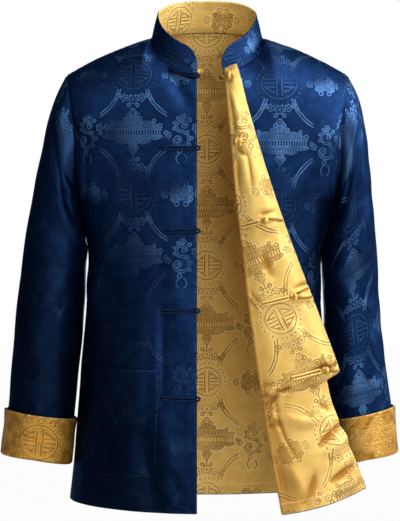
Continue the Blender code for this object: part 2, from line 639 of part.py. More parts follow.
def make_left_frogs(gold, collection):
    """The turned-back front's five closures: ball knot, doubled strip and loops to the edge,
    and the small knot that shows against the fold."""

    def surface(share, t):
        return flap(1 - share, t)

    off = CLOTH / 2 + SEAM_GAP + CORD_RADIUS
    for number, frog in enumerate(FLAP_FROGS, start=1):
        seat = CLOTH / 2 + SEAM_GAP + frog.knot_radius
        centre = on_sheet(surface, frog.t, np.array([frog.knot_in]), np.zeros(1), seat)[0]
        knot_object(f"knot_left_{number}", centre, frog.knot_radius, gold, collection)
        clear = frog.knot_radius + CORD_RADIUS + SEAM_GAP
        if frog.strip:
            route = hairpin(frog.strip, 0.0)
            far = frog.knot_in + clear - route[:, 0]
            strip = on_sheet(surface, frog.t, far, route[:, 1], off)
            cord_object(f"strip_left_{number}", strip, CORD_RADIUS, gold, collection)
        for run in range(frog.loops):
            reach = np.linspace(frog.knot_in - clear, 0.002, 4)
            spread = (1 - 2 * run) * (0.0026 + 0.16 * (frog.knot_in - reach))
            loop = on_sheet(surface, frog.t, reach, spread, off)
            cord_object(
                f"loop_left_{number}_{run + 1}", loop, 0.8 * CORD_RADIUS, gold, collection
            )
    turned, normal = front(LEFT, np.array(0.0), np.array(FOLD_KNOT_T))
    beside = FOLD_RADIUS + CLOTH / 2 + SEAM_GAP + FOLD_KNOT_RADIUS
    centre = turned + normal * FOLD_RADIUS - np.array([beside, 0.0, 0.0])
    knot_object("knot_left_fold", centre, FOLD_KNOT_RADIUS, gold, collection)


def main():
    for obj in list(bpy.data.objects):
        bpy.data.objects.remove(obj)
    collection = bpy.data.collections.new("tang_jacket")
    bpy.context.scene.collection.children.link(collection)
    navy = new_material("navy_brocade", (0.012, 0.030, 0.095), 0.42)
    gold = new_material("gold_brocade", (0.78, 0.52, 0.16), 0.38)
    make_body(navy, collection)
    make_sleeves(navy, gold, collection)
    make_collar(navy, collection)
    make_pockets(navy, collection)
    make_right_frogs(navy, gold, collection)
    make_left_frogs(gold, collection)


main()
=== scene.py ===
"""A reversible brocade tang jacket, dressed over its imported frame.

Metres, +Z up.  The jacket faces -Y and +X is the wearer's left.  Every cloth piece is a closed
double sheet: navy brocade on its right side and gold brocade on its reverse.  The left front
is turned back, so its gold side faces the viewer.
"""

import logging
from collections.abc import Callable, Sequence
from dataclasses import dataclass, field, replace
from enum import Enum
from functools import reduce
from operator import or_
from typing import NamedTuple

import bpy
import numpy as np
from numpy.typing import NDArray
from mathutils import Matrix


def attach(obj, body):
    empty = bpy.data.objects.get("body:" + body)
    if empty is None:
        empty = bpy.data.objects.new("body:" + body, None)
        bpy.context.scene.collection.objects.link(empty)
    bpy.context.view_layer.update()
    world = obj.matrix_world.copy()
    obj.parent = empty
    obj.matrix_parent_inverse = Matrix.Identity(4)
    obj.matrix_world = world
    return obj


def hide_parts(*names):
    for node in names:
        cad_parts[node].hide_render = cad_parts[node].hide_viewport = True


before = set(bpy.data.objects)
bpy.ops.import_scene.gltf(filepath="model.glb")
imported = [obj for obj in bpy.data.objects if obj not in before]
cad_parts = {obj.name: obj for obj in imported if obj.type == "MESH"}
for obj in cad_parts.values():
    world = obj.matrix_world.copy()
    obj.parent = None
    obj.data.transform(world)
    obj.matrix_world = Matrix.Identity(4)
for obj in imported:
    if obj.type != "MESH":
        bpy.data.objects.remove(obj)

Array = NDArray[np.float64]
Surface = Callable[[Array, Array], Array]
Place = tuple[float, float, float]
Flat = tuple[float, float]
Span = tuple[float, float]
Colour = tuple[float, float, float]
Piece = bpy.types.Object
Material = bpy.types.Material
Tree = bpy.types.NodeTree
Node = bpy.types.Node
Socket = bpy.types.NodeSocket

log = logging.getLogger("tang_jacket")

TAU = 2 * np.pi


class Side(Enum):
    """A side of the wearer; its value is the sign of X there."""

    RIGHT = -1
    LEFT = 1

    @property
    def hand(self) -> str:
        """The side's name as the pieces carry it."""
        return self.name.lower()


class Face(Enum):
    """Which way a part of the jacket looks; its value is the sign of Y there."""

    FRONT = -1
    BACK = 1


class Grain(Enum):
    """What a piece's right side is woven in."""

    NAVY = "navy_brocade"
    GOLD = "gold_brocade"


# ---------------------------------------------------------------- the cut's tables
class BodySection(NamedTuple):
    """One height of the body: t, the centre and side heights, and how far each part reaches."""

    t: float
    z_front_right: float
    z_front_left: float
    z_back: float
    z_right: float
    z_left: float
    half_right: float
    half_left: float
    front: float
    back: float


class SleeveRing(NamedTuple):
    """One ring of a sleeve: its outermost, innermost and middle places and its two reaches."""

    r: float
    outer_x: float
    outer_z: float
    inner_x: float
    inner_z: float
    mid_x: float
    mid_z: float
    mid_y: float
    front: float
    back: float


class EdgePlace(NamedTuple):
    """One place on the turned-back front's free edge."""

    t: float
    x: float
    y: float
    z: float


class SoftFold(NamedTuple):
    """A broad fold in a surface's own coordinates: centre, run, width and lift."""

    u: float
    v: float
    run_u: float
    run_v: float
    width: float
    lift: float


BODY = (
    BodySection(0.00, -0.7415, -0.752, -0.742, -0.732, -0.727, 0.2176, 0.2080, 0.1380, 0.1250),
    BodySection(0.10, -0.6730, -0.680, -0.674, -0.670, -0.667, 0.2115, 0.1960, 0.1345, 0.1200),
    BodySection(0.21, -0.5970, -0.600, -0.597, -0.596, -0.593, 0.2055, 0.1895, 0.1310, 0.1140),
    BodySection(0.34, -0.4990, -0.500, -0.499, -0.498, -0.497, 0.1980, 0.1845, 0.1270, 0.1050),
    BodySection(0.44, -0.4190, -0.420, -0.419, -0.419, -0.419, 0.1915, 0.1805, 0.1245, 0.0990),
    BodySection(0.53, -0.3450, -0.345, -0.345, -0.345, -0.345, 0.1890, 0.1825, 0.1240, 0.0980),
    BodySection(0.64, -0.2620, -0.262, -0.262, -0.262, -0.262, 0.2035, 0.2035, 0.1260, 0.1040),
    BodySection(0.76, -0.1650, -0.165, -0.165, -0.165, -0.165, 0.2060, 0.2060, 0.1220, 0.1090),
)
SLEEVES = {
    Side.RIGHT: (
        SleeveRing(0.00, 0.2245, -0.0600, 0.2065, -0.2620, 0.2075, -0.1650, 0.004, 0.074, 0.080),
        SleeveRing(0.06, 0.2400, -0.0900, 0.2070, -0.2700, 0.2205, -0.1800, 0.004, 0.077, 0.080),
        SleeveRing(0.14, 0.2530, -0.1300, 0.2050, -0.2850, 0.2290, -0.2080, 0.005, 0.077, 0.078),
        SleeveRing(0.24, 0.2640, -0.1800, 0.2020, -0.3080, 0.2330, -0.2440, 0.006, 0.074, 0.075),
        SleeveRing(0.37, 0.2780, -0.2500, 0.1995, -0.3480, 0.2390, -0.2990, 0.008, 0.070, 0.070),
        SleeveRing(0.50, 0.2910, -0.3280, 0.1990, -0.3980, 0.2450, -0.3630, 0.009, 0.066, 0.066),
        SleeveRing(0.64, 0.3020, -0.4130, 0.2005, -0.4580, 0.2515, -0.4355, 0.006, 0.062, 0.062),
        SleeveRing(0.78, 0.3095, -0.5000, 0.2050, -0.5270, 0.2575, -0.5135, -0.002, 0.057, 0.057),
        SleeveRing(0.90, 0.3160, -0.5880, 0.2130, -0.6050, 0.2645, -0.5965, -0.010, 0.053, 0.053),
        SleeveRing(1.00, 0.3245, -0.6580, 0.2190, -0.6740, 0.2718, -0.6640, -0.014, 0.052, 0.052),
    ),
    Side.LEFT: (
        SleeveRing(0.00, 0.2245, -0.0600, 0.2065, -0.2620, 0.2075, -0.1650, 0.004, 0.074, 0.080),
        SleeveRing(0.06, 0.2400, -0.0900, 0.2070, -0.2700, 0.2200, -0.1800, 0.004, 0.077, 0.080),
        SleeveRing(0.14, 0.2500, -0.1300, 0.2045, -0.2850, 0.2270, -0.2080, 0.005, 0.077, 0.078),
        SleeveRing(0.24, 0.2570, -0.1800, 0.2005, -0.3080, 0.2290, -0.2440, 0.006, 0.075, 0.076),
        SleeveRing(0.37, 0.2630, -0.2500, 0.1955, -0.3480, 0.2290, -0.2990, 0.008, 0.072, 0.072),
        SleeveRing(0.50, 0.2680, -0.3280, 0.1900, -0.3980, 0.2290, -0.3630, 0.009, 0.069, 0.069),
        SleeveRing(0.64, 0.2745, -0.4130, 0.1880, -0.4580, 0.2310, -0.4355, 0.006, 0.065, 0.065),
        SleeveRing(0.78, 0.2820, -0.5000, 0.1905, -0.5300, 0.2360, -0.5150, -0.002, 0.060, 0.060),
        SleeveRing(0.90, 0.2925, -0.5850, 0.1975, -0.6080, 0.2450, -0.5965, -0.010, 0.056, 0.056),
        SleeveRing(1.00, 0.3000, -0.6560, 0.2030, -0.6760, 0.2515, -0.6630, -0.014, 0.055, 0.055),
    ),
}
FLAP_EDGE = (
    EdgePlace(0.00, 0.2702, -0.0980, -0.7067),
    EdgePlace(0.10, 0.2479, -0.1010, -0.6500),
    EdgePlace(0.21, 0.2153, -0.1040, -0.5680),
    EdgePlace(0.27, 0.2050, -0.1070, -0.5258),
    EdgePlace(0.34, 0.1855, -0.1110, -0.4720),
    EdgePlace(0.44, 0.1566, -0.1180, -0.3980),
    EdgePlace(0.53, 0.1292, -0.1245, -0.3270),
    EdgePlace(0.64, 0.1005, -0.1310, -0.2450),
    EdgePlace(0.76, 0.0717, -0.1310, -0.1520),
    EdgePlace(1.00, 0.0461, -0.1040, -0.0490),
)
BODY_FOLDS = {
    Side.RIGHT: (
        SoftFold(0.62, 0.52, 0.22, -0.16, 0.050, 0.0035),
        SoftFold(0.80, 0.60, 0.10, -0.14, 0.040, -0.0035),
        SoftFold(0.30, 0.28, 0.05, -0.24, 0.060, 0.0030),
        SoftFold(0.66, 0.16, 0.04, -0.16, 0.055, 0.0035),
    ),
    Side.LEFT: (
        SoftFold(0.60, 0.54, 0.24, -0.15, 0.050, 0.0035),
        SoftFold(0.82, 0.60, 0.08, -0.12, 0.040, -0.0030),
        SoftFold(0.55, 0.22, 0.05, -0.20, 0.060, 0.0030),
    ),
}
BACK_FOLDS = (
    SoftFold(-0.55, 0.52, 0.20, 0.12, 0.060, 0.0035),
    SoftFold(0.52, 0.50, 0.18, -0.12, 0.060, 0.0035),
    SoftFold(-0.30, 0.18, 0.03, 0.16, 0.070, 0.0045),
    SoftFold(0.28, 0.20, 0.04, 0.18, 0.070, 0.0045),
    SoftFold(0.02, 0.72, 0.02, 0.12, 0.060, -0.0030),
)
SLEEVE_FOLDS = {
    Side.RIGHT: (
        SoftFold(0.30, 0.20, 0.16, 0.07, 0.035, -0.0050),
        SoftFold(0.36, 0.30, 0.14, 0.05, 0.040, 0.0045),
        SoftFold(0.18, 0.52, 0.14, -0.05, 0.035, -0.0040),
        SoftFold(0.80, 0.55, 0.16, 0.05, 0.035, -0.0050),
        SoftFold(0.22, 0.76, 0.14, 0.05, 0.040, 0.0035),
        SoftFold(0.72, 0.28, 0.14, -0.06, 0.040, -0.0040),
    ),
    Side.LEFT: (
        SoftFold(0.30, 0.18, 0.16, 0.07, 0.035, -0.0050),
        SoftFold(0.34, 0.36, 0.12, -0.04, 0.040, -0.0050),
        SoftFold(0.30, 0.47, 0.14, 0.05, 0.035, 0.0045),
        SoftFold(0.78, 0.56, 0.16, 0.05, 0.035, -0.0050),
        SoftFold(0.22, 0.72, 0.14, -0.05, 0.040, 0.0035),
        SoftFold(0.70, 0.30, 0.14, -0.06, 0.040, -0.0040),
    ),
}


# ---------------------------------------------------------------- sums on whole arrays
def columns(table: Sequence[NamedTuple], *names: str) -> Array:
    """The named columns of a table.

    Args:
        table: Rows with those names.
        names: The columns wanted.

    Returns:
        One row for each row of the table.
    """
    return np.array([[getattr(row, name) for name in names] for row in table])


def through(at: Array | float, knots: Array, values: Array) -> Array:
    """A smooth cubic through a table's rows: each span is a Hermite cubic whose slopes are the
    differences of the neighbouring rows.

    Args:
        at: Where to read it.
        knots: The rows' places.
        values: The rows' values, one row each.

    Returns:
        The values at each place, with the columns last.
    """
    at = np.asarray(at, float)
    slopes = np.gradient(values, knots, axis=0)
    low = np.clip(np.searchsorted(knots, at, side="right") - 1, 0, len(knots) - 2)
    step = knots[low + 1] - knots[low]
    f = ((at - knots[low]) / step)[..., None]
    step = step[..., None]
    return (
        values[low] * (1 + 2 * f) * (1 - f) ** 2
        + slopes[low] * step * f * (1 - f) ** 2
        + values[low + 1] * f * f * (3 - 2 * f)
        + slopes[low + 1] * step * f * f * (f - 1)
    )


def points(x: Array | float, y: Array | float, z: Array | float) -> Array:
    """Three coordinate arrays as one array of points."""
    return np.stack(np.broadcast_arrays(x, y, z), axis=-1)


def unit(vectors: Array) -> Array:
    """The vectors at length one."""
    return vectors / np.maximum(np.linalg.norm(vectors, axis=-1, keepdims=True), 1e-12)


def smoothstep(low: float, high: float, value: Array) -> Array:
    """0 below low, 1 above high, and 3f^2 - 2f^3 between them."""
    f = np.clip((value - low) / (high - low), 0, 1)
    return f * f * (3 - 2 * f)


def bell(off: Array, width: float) -> Array:
    """A Gaussian: 1 where the offset is 0, and 1/e one width away from there."""
    return np.exp(-((off / width) ** 2))


def graded(count: int, length: float) -> Array:
    """Evenly spaced shares from 0 to 1 with three close lines added inside each end, so that
    an edge can turn over sharply.

    Args:
        count: Evenly spaced lines.
        length: The real length of the span, in metres.

    Returns:
        The shares, rising.
    """
    inner = np.linspace(0, 1, count)[1:-1]
    close = np.array([0.0008, 0.0020, 0.0042]) / length
    inner = inner[(inner > 1.5 * close[-1]) & (inner < 1 - 1.5 * close[-1])]
    return np.concatenate([[0], close, inner, 1 - close[::-1], [1]])


def run_along(place: Array, axis: int, flat: tuple[int, ...] = (0, 1, 2)) -> Array:
    """How far each point lies along a grid's axis: the sum of the steps before it.

    Args:
        place: A grid of points.
        axis: 0 up the grid, 1 across it.
        flat: The coordinates that count.

    Returns:
        The distances, from 0 at the axis's first line.
    """
    steps = np.linalg.norm(np.diff(place[..., list(flat)], axis=axis), axis=-1)
    start = np.zeros_like(np.take(steps, [0], axis=axis))
    return np.concatenate([start, np.cumsum(steps, axis=axis)], axis=axis)


def ripple(u: Array, v: Array, seed: float) -> Array:
    """Uneven low waves, about -1 to 1: four sines that cross at slant angles.

    Args:
        u: Metres across.
        v: Metres along.
        seed: Shifts the waves, so that no two pieces match.

    Returns:
        The height of the waves.
    """
    total = np.zeros(np.broadcast(u, v).shape)
    for turn, pitch in ((0.4, 0.083), (1.3, 0.061), (2.2, 0.047), (2.9, 0.104)):
        along = u * np.cos(turn + seed) + v * np.sin(turn + seed)
        total += np.sin(TAU * along / pitch + seed * (3 + turn))
    return total / 4


# ---------------------------------------------------------------- the jacket's base surfaces
@dataclass(frozen=True)
class Cut:
    """The jacket's cut: its neck, shoulders, armholes, fronts and folded edge.

    A name that ends in _t is a height as a share of the way up a panel, 0 at the hem and 1 at
    the shoulder seam.  neck_share is the share of a panel's top edge that lies on the neckline.
    The step is where the flap's edge tucks in, at step_t.
    """

    cloth: float = 0.0020
    seam_gap: float = 0.0004
    side_y: float = 0.004
    squareness: float = 0.87
    neck_half_width: float = 0.091
    neck_front: tuple[float, float] = (0.063, 0.099)  # drop, reach
    neck_back: tuple[float, float] = (0.022, 0.078)  # rise, reach
    shoulder_tip: tuple[float, float] = (0.2235, -0.0580)
    shoulder_crown: float = 0.005
    armpit: tuple[float, float] = (0.2035, -0.2620)
    armhole_middle: tuple[float, float] = (0.2060, -0.1650)
    armhole_front: float = 0.074
    armhole_back: float = 0.080
    right_edge: float = 0.017
    fold_top: float = 0.030
    fold_spread: float = 0.088
    fold_power: float = 1.5
    fold_radius: float = 0.0042
    armpit_t: float = 0.64
    chest_t: float = 0.76
    neck_share: float = 5 / 12
    neck_turn: float = np.radians(50)
    shoulder_turn: float = np.radians(90)
    step_t: float = 0.262
    step_half: float = 0.010
    step_tuck: float = 0.024
    step_sink: float = 0.005
    flap_bow: float = 0.005
    flap_bow_t: float = 0.3
    flap_hem_bow: float = 0.005
    flap_hem_t: float = 0.1

    def neckline(self, angle: Array) -> Array:
        """The neck seam: 0 at the front, a quarter turn at the wearer's left, half at the back."""
        ahead = np.cos(angle)
        reach = np.where(ahead > 0, self.neck_front[1], self.neck_back[1])
        climb = np.where(ahead > 0, self.neck_front[0], self.neck_back[0])
        across = self.neck_half_width * np.sin(angle)
        return points(across, self.side_y - reach * ahead, -climb * ahead)

    def armhole(self, lift: Array, reach: float) -> Array:
        """The armhole on one face: an ellipse from the armpit, at lift -1, to the tip, at 1."""
        end_x = np.where(lift > 0, self.shoulder_tip[0], self.armpit[0])
        end_z = np.where(lift > 0, self.shoulder_tip[1], self.armpit[1])
        share = np.abs(lift)
        x = self.armhole_middle[0] + share * (end_x - self.armhole_middle[0])
        z = self.armhole_middle[1] + share * (end_z - self.armhole_middle[1])
        return points(x, self.side_y + reach * np.sqrt(np.clip(1 - lift**2, 0, 1)), z)

    def body_row(self, side: Side, face: Face, edge: Array, s: Array, t: Array) -> Array:
        """A body section up to the chest: a quarter of a squared ellipse, sin and cos each
        raised to the squareness, from the centre edge round to the side seam or armhole.

        Args:
            side: Which side of the wearer.
            face: The front or the back.
            edge: Where the centre edge lies, for each height.
            s: Share of the way to the side.
            t: Height up the panel.

        Returns:
            The points, with X growing outwards.
        """
        hand = side.hand
        names = [f"half_{hand}", f"z_{hand}"]
        names += [f"z_front_{hand}", "front"] if face is Face.FRONT else ["z_back", "back"]
        sections = through(t, columns(BODY, "t")[:, 0], columns(BODY, *names))
        half, z_side, z_mid, reach = np.moveaxis(sections, -1, 0)
        rise = np.clip((t - self.chest_t) / (self.chest_t - self.armpit_t), -1, 0)
        hole = self.armhole_front if face is Face.FRONT else self.armhole_back
        seat = self.armhole(np.sin(np.pi / 2 * rise), face.value * hole)
        below = (t <= self.armpit_t)[..., None]
        outer = np.where(below, points(half, self.side_y, z_side), seat)
        outer_x, outer_y, outer_z = np.moveaxis(outer, -1, 0)
        start = np.arcsin(np.clip(edge / outer_x, 0, 1) ** (1 / self.squareness))
        angle = start + s * (np.pi / 2 - start)
        across = np.sin(angle) ** self.squareness
        ahead = np.clip(np.cos(angle), 0, 1) ** self.squareness
        return points(
            outer_x * across,
            outer_y + (face.value * reach - outer_y) * ahead,
            z_mid + (outer_z - z_mid) * across**2,
        )

    def top_row(self, start: float, s: Array) -> Array:
        """The top edge: along the neckline to the side of the neck, then the shoulder seam."""
        on_neck = np.clip(s / self.neck_share, 0, 1)
        seam = self.neckline(start + on_neck * (np.pi / 2 - start))
        along = np.clip((s - self.neck_share) / (1 - self.neck_share), 0, 1)
        beside = self.neckline(np.array(np.pi / 2))
        tip = np.array([self.shoulder_tip[0], self.side_y, self.shoulder_tip[1]])
        shoulder = beside + along[..., None] * (tip - beside)
        shoulder[..., 2] += self.shoulder_crown * np.sin(np.pi * along)
        return np.where((s <= self.neck_share)[..., None], seam, shoulder)

    def panel(
        self, side: Side, face: Face, edge: Callable[[Array], Array], s: Array, t: Array
    ) -> Array:
        """A body panel before its folds: its section up to the chest, then over the shoulder on
        a sine in height and a cosine in depth to the top edge.

        Args:
            side: Which side of the wearer.
            face: The front or the back.
            edge: The centre edge's X for a height.
            s: Share of the way to the side.
            t: Height up the panel.

        Returns:
            The points.
        """
        s, t = np.broadcast_arrays(np.asarray(s, float), np.asarray(t, float))
        capped = np.minimum(t, self.chest_t)
        low = self.body_row(side, face, edge(capped), s, capped)
        start = float(np.arcsin(float(edge(np.array(1.0))) / self.neck_half_width))
        top = self.top_row(start if face is Face.FRONT else np.pi - start, s)
        over = np.clip((t - self.chest_t) / (1 - self.chest_t), 0, 1)
        near = np.clip(s / self.neck_share, 0, 1)
        bend = self.shoulder_turn - self.neck_turn
        turn = self.neck_turn + bend * near * near * (3 - 2 * near)
        rise = (np.sin(over * turn) / np.sin(turn))[..., None]
        ahead = (np.cos(over * turn) - np.cos(turn)) / (1 - np.cos(turn))
        surface = low + rise * (top - low)
        surface[..., 1] = top[..., 1] + ahead * (low[..., 1] - top[..., 1])
        surface[..., 1] += face.value * self.seam_gap * np.maximum(s, over) ** 8
        return surface * np.array([side.value, 1, 1])

    def right_edge_x(self, t: Array) -> Array:
        """The right front hangs with a straight edge."""
        return np.full_like(np.asarray(t, float), self.right_edge)

    def fold_x(self, t: Array) -> Array:
        """Where the left front turns back: further from the centre towards the hem."""
        return self.fold_top + self.fold_spread * (1 - np.asarray(t, float)) ** self.fold_power

    def front(self, side: Side, s: Array, t: Array) -> tuple[Array, Array]:
        """A front's surface and its outward normals."""
        edge = self.right_edge_x if side is Side.RIGHT else self.fold_x

        def smooth(a: Array, b: Array) -> Array:
            """The front without folds."""
            return self.panel(side, Face.FRONT, edge, a, b)

        return with_folds(smooth, BODY_FOLDS[side], s, t, side.value)

    def back(self, s: Array, t: Array) -> tuple[Array, Array]:
        """The back's surface: s is -1 at the right side seam and 1 at the left."""

        def smooth(a: Array, b: Array) -> Array:
            """The back without folds."""
            halves = [
                self.panel(side, Face.BACK, np.zeros_like, np.abs(a), b)
                for side in (Side.RIGHT, Side.LEFT)
            ]
            return np.where((a < 0)[..., None], *halves)

        return with_folds(smooth, BACK_FOLDS, s, t, -1)

    def sleeve(self, side: Side, turn: Array, r: Array) -> tuple[Array, Array]:
        """A sleeve's surface: rings of four quarter ellipses, once round from the outside."""
        table = SLEEVES[side]

        def smooth(a: Array, b: Array) -> Array:
            """The sleeve without folds."""
            a, b = np.broadcast_arrays(np.asarray(a, float), np.asarray(b, float))
            cells = through(b, columns(table, "r")[:, 0], columns(table, *SleeveRing._fields[1:]))
            outer_x, outer_z, inner_x, inner_z, mid_x, mid_z, mid_y, ahead, behind = np.moveaxis(
                cells, -1, 0
            )
            lift, reach = np.cos(TAU * a), np.sin(TAU * a)
            out, fore = np.maximum(lift, 0), np.maximum(reach, 0)
            inward, aft = np.maximum(-lift, 0), np.maximum(-reach, 0)
            x = mid_x + out * (outer_x - mid_x) + inward * (inner_x - mid_x)
            z = mid_z + out * (outer_z - mid_z) + inward * (inner_z - mid_z)
            return points(side.value * x, mid_y - ahead * fore + behind * aft, z)

        return with_folds(smooth, SLEEVE_FOLDS[side], turn, r, side.value, wraps=True)

    def flap(self, share: Array, t: Array) -> Array:
        """The turned-back front, a ruled surface from just past the fold, share 0, to the free
        edge, share 1, bellied forward and with its hem bowed down."""
        share, t = np.broadcast_arrays(np.asarray(share, float), np.asarray(t, float))
        turned, normal = self.front(Side.LEFT, np.zeros_like(t), t)
        start = turned + normal * (2 * self.fold_radius)
        edge = through(t, columns(FLAP_EDGE, "t")[:, 0], columns(FLAP_EDGE, "x", "y", "z"))
        tucked = np.clip((self.step_t + self.step_half - t) / (2 * self.step_half), 0, 1)
        edge[..., 0] -= self.step_tuck * tucked
        edge[..., 1] += self.step_sink * tucked
        surface = start + share[..., None] * (edge - start)
        belly = np.sin(np.pi * share)
        surface[..., 1] -= self.flap_bow * belly * np.clip((1 - t) / self.flap_bow_t, 0, 1)
        surface[..., 2] -= self.flap_hem_bow * belly * np.clip(1 - t / self.flap_hem_t, 0, 1)
        return surface


def lift_of(folds: Sequence[SoftFold], u: Array, v: Array, wraps: bool) -> Array:
    """How far the soft folds lift the cloth: each is a Gaussian ridge that fades at its ends."""
    lift = np.zeros(np.broadcast(u, v).shape)
    for fold in folds:
        du, dv = u - fold.u, v - fold.v
        if wraps:
            du = du - np.round(du)
        length = np.hypot(fold.run_u, fold.run_v)
        along = (du * fold.run_u + dv * fold.run_v) / length
        across = (du * fold.run_v - dv * fold.run_u) / length
        lift += fold.lift * np.exp(-((along / length) ** 2) - (across / fold.width) ** 2)
    return lift


STEP = 1e-3  # the step in a surface's own coordinates that its directions are measured over
FADE_ALONG, FADE_ACROSS = 0.05, 0.10  # how close to an edge a soft fold starts to fade


def with_folds(
    surface: Surface, folds: Sequence[SoftFold], u: Array, v: Array, out: int, wraps: bool = False
) -> tuple[Array, Array]:
    """A surface moved along its normals by its soft folds, which fade out at its edges.

    Args:
        surface: The smooth surface.
        folds: Its folds.
        u: First coordinate.
        v: Second coordinate.
        out: 1 or -1, to turn the normals outwards.
        wraps: Whether u closes on itself.

    Returns:
        The points and their outward normals.
    """
    du = surface(u + STEP, v) - surface(u - STEP, v)
    dv = surface(u, v + STEP) - surface(u, v - STEP)
    normal = unit(np.cross(du, dv) * out)
    fade = np.clip(np.minimum(v, 1 - v) / FADE_ALONG, 0, 1)
    if not wraps:
        fade = fade * np.clip((1 - np.abs(u)) / FADE_ACROSS, 0, 1)
    lift = lift_of(folds, u, v, wraps) * fade
    return surface(u, v) + normal * lift[..., None], normal


CUT = Cut()


# ---------------------------------------------------------------- cloth as closed double sheets
SWELL_AWAY, SWELL_WIDTH = 2.2, 1.6  # where a crease's swell lies and its width, in crease widths
CREASE_FULLNESS = 0.8  # the power of the sine along a crease
CREASE_TURN = 0.35  # how far cloth has to face a crease's own way before it takes it in full
EDGE_CREST = 0.9  # how far the crest of a turned edge stands out, in half walls
CORD_TIP = 0.7  # how far a cord's rounded end reaches past it, in radii


@dataclass(frozen=True)
class Crease:
    """A crease, seen from the front or the back: a ridge (or, with a lift below 0,
    a trough) between two places in x and z, with a soft swell beside it."""

    start: tuple[float, float]
    end: tuple[float, float]
    width: float
    lift: float
    bow: float = 0.0
    swell: float = 0.4
    face: Face = Face.FRONT

    def lift_at(self, place: Array, normal: Array) -> Array:
        """How far it lifts each point: a Gaussian across it less a wider one beside it, times
        the sine of the way along it.

        Args:
            place: The points.
            normal: Their outward normals.

        Returns:
            The lift along the normals, in metres.
        """
        dx, dz = self.end[0] - self.start[0], self.end[1] - self.start[1]
        length = float(np.hypot(dx, dz))
        px, pz = place[..., 0] - self.start[0], place[..., 2] - self.start[1]
        along = np.clip((px * dx + pz * dz) / length**2, 0, 1)
        across = (px * dz - pz * dx) / length - self.bow * 4 * along * (1 - along)
        beside = bell(across - SWELL_AWAY * self.width, SWELL_WIDTH * self.width)
        seen = smoothstep(0.0, CREASE_TURN, self.face.value * normal[..., 1])
        fade = np.sin(np.pi * along) ** CREASE_FULLNESS
        return self.lift * (bell(across, self.width) - self.swell * beside) * fade * seen


def creased(creases: Sequence[Crease], place: Array, normal: Array) -> Array:
    """The lift of several creases together."""
    return np.sum([crease.lift_at(place, normal) for crease in creases], axis=0)


@dataclass
class Sheet:
    """A cloth sheet on a grid: its middle surface, outward normals and own flat coordinates.

    cloth has one column more than place where the sheet closes on itself.  The first
    turned_columns columns of faces take their flat coordinates from turned instead.
    """

    place: Array
    normal: Array
    cloth: Array
    wraps: bool = False
    turned: Array | None = None
    turned_columns: int = 0
    hem: Array | None = None
    # painted shade of the creases and the fold, from 0 to 1, where the piece has any
    painted_shade: Array | None = None

    def face_out(self) -> None:
        """Works the normals out again from the points, on the same side as before."""
        if self.wraps:
            du = np.roll(self.place, -1, axis=1) - np.roll(self.place, 1, axis=1)
        else:
            du = np.gradient(self.place, axis=1)
        normal = unit(np.cross(du, np.gradient(self.place, axis=0)))
        same = np.sign(np.sum(normal * self.normal))
        self.normal = normal * same

    def raise_by(self, lift: Array) -> None:
        """Moves the points along their normals and works the normals out again."""
        self.place = self.place + self.normal * lift[..., None]
        self.face_out()

    def crease(self, creases: Sequence[Crease]) -> None:
        """Lays listed creases into the sheet."""
        self.raise_by(creased(creases, self.place, self.normal))

    def corner_map(self) -> Array:
        """The flat coordinates of each face's corners."""
        rows, across = self.place.shape[:2]
        flat = corners_of(rows, across, self.wraps, self.cloth.shape[1])
        uv = self.cloth.reshape(-1, 2)[flat]
        if self.turned is not None:
            early = np.arange(len(flat)) % (across - 1) < self.turned_columns
            uv = np.where(early[:, None, None], self.turned.reshape(-1, 2)[flat], uv)
        return uv

    def edge_map(self, loop: Array) -> Array:
        """The flat coordinates along a boundary loop."""
        i, j = loop.T
        uv = self.cloth[i, j]
        if self.turned is not None:
            uv = np.where((j < self.turned_columns)[:, None], self.turned[i, j], uv)
        return uv

    def looks_out(self, corners: Array) -> bool:
        """Whether the grid's own faces look the way that its normals point."""
        middle = corners[len(corners) // 2]
        spread = self.place.reshape(-1, 3)[middle]
        looks = np.cross(spread[1] - spread[0], spread[3] - spread[0])
        return float(np.dot(looks, self.normal.reshape(-1, 3)[middle[0]])) > 0

    def crest(self, loop: Array, half: Array) -> Array:
        """The crest of the sheet's turned edge: each boundary point moved out of the sheet,
        along the grid's own directions, by most of half the wall.

        Args:
            loop: Row and column numbers of the boundary points.
            half: Half the wall at each grid point.

        Returns:
            The points.
        """
        rows, across = self.place.shape[:2]
        i, j = loop.T
        ends = (i == rows - 1).astype(float) - (i == 0)
        out = ends[:, None] * unit(np.gradient(self.place, axis=0)[i, j])
        if not self.wraps:
            ends = (j == across - 1).astype(float) - (j == 0)
            out = out + ends[:, None] * unit(np.gradient(self.place, axis=1)[i, j])
        return self.place[i, j] + unit(out) * half[i, j] * EDGE_CREST


def corners_of(rows: int, across: int, wraps: bool, width: int) -> Array:
    """The four corners of each quad of a grid, as numbers into rows of the given width."""
    last = across if wraps else across - 1
    i, j = np.meshgrid(np.arange(rows - 1), np.arange(last), indexing="ij")
    beside = j + 1 if width > across else (j + 1) % across
    quads = [i * width + j, i * width + beside, (i + 1) * width + beside, (i + 1) * width + j]
    return np.stack(quads, axis=-1).reshape(-1, 4)


def closed_rings(rows: int, sides: int) -> Array:
    """The faces of a stack of rings that closes on a point past each end: the quads between the
    rings, then a fan of triangles at the foot and one at the head."""
    count, last, j = rows * sides, (rows - 1) * sides, np.arange(sides)
    beside = (j + 1) % sides
    foot = np.stack(np.broadcast_arrays(count, beside, j, count), axis=-1)
    head = np.stack(np.broadcast_arrays(count + 1, last + j, last + beside, count + 1), axis=-1)
    return np.concatenate([corners_of(rows, sides, True, sides), foot, head])


def linked(name: str, data: bpy.types.ID) -> Piece:
    """A new object of that data, linked to the scene."""
    obj = bpy.data.objects.new(name, data)
    bpy.context.scene.collection.objects.link(obj)
    return obj


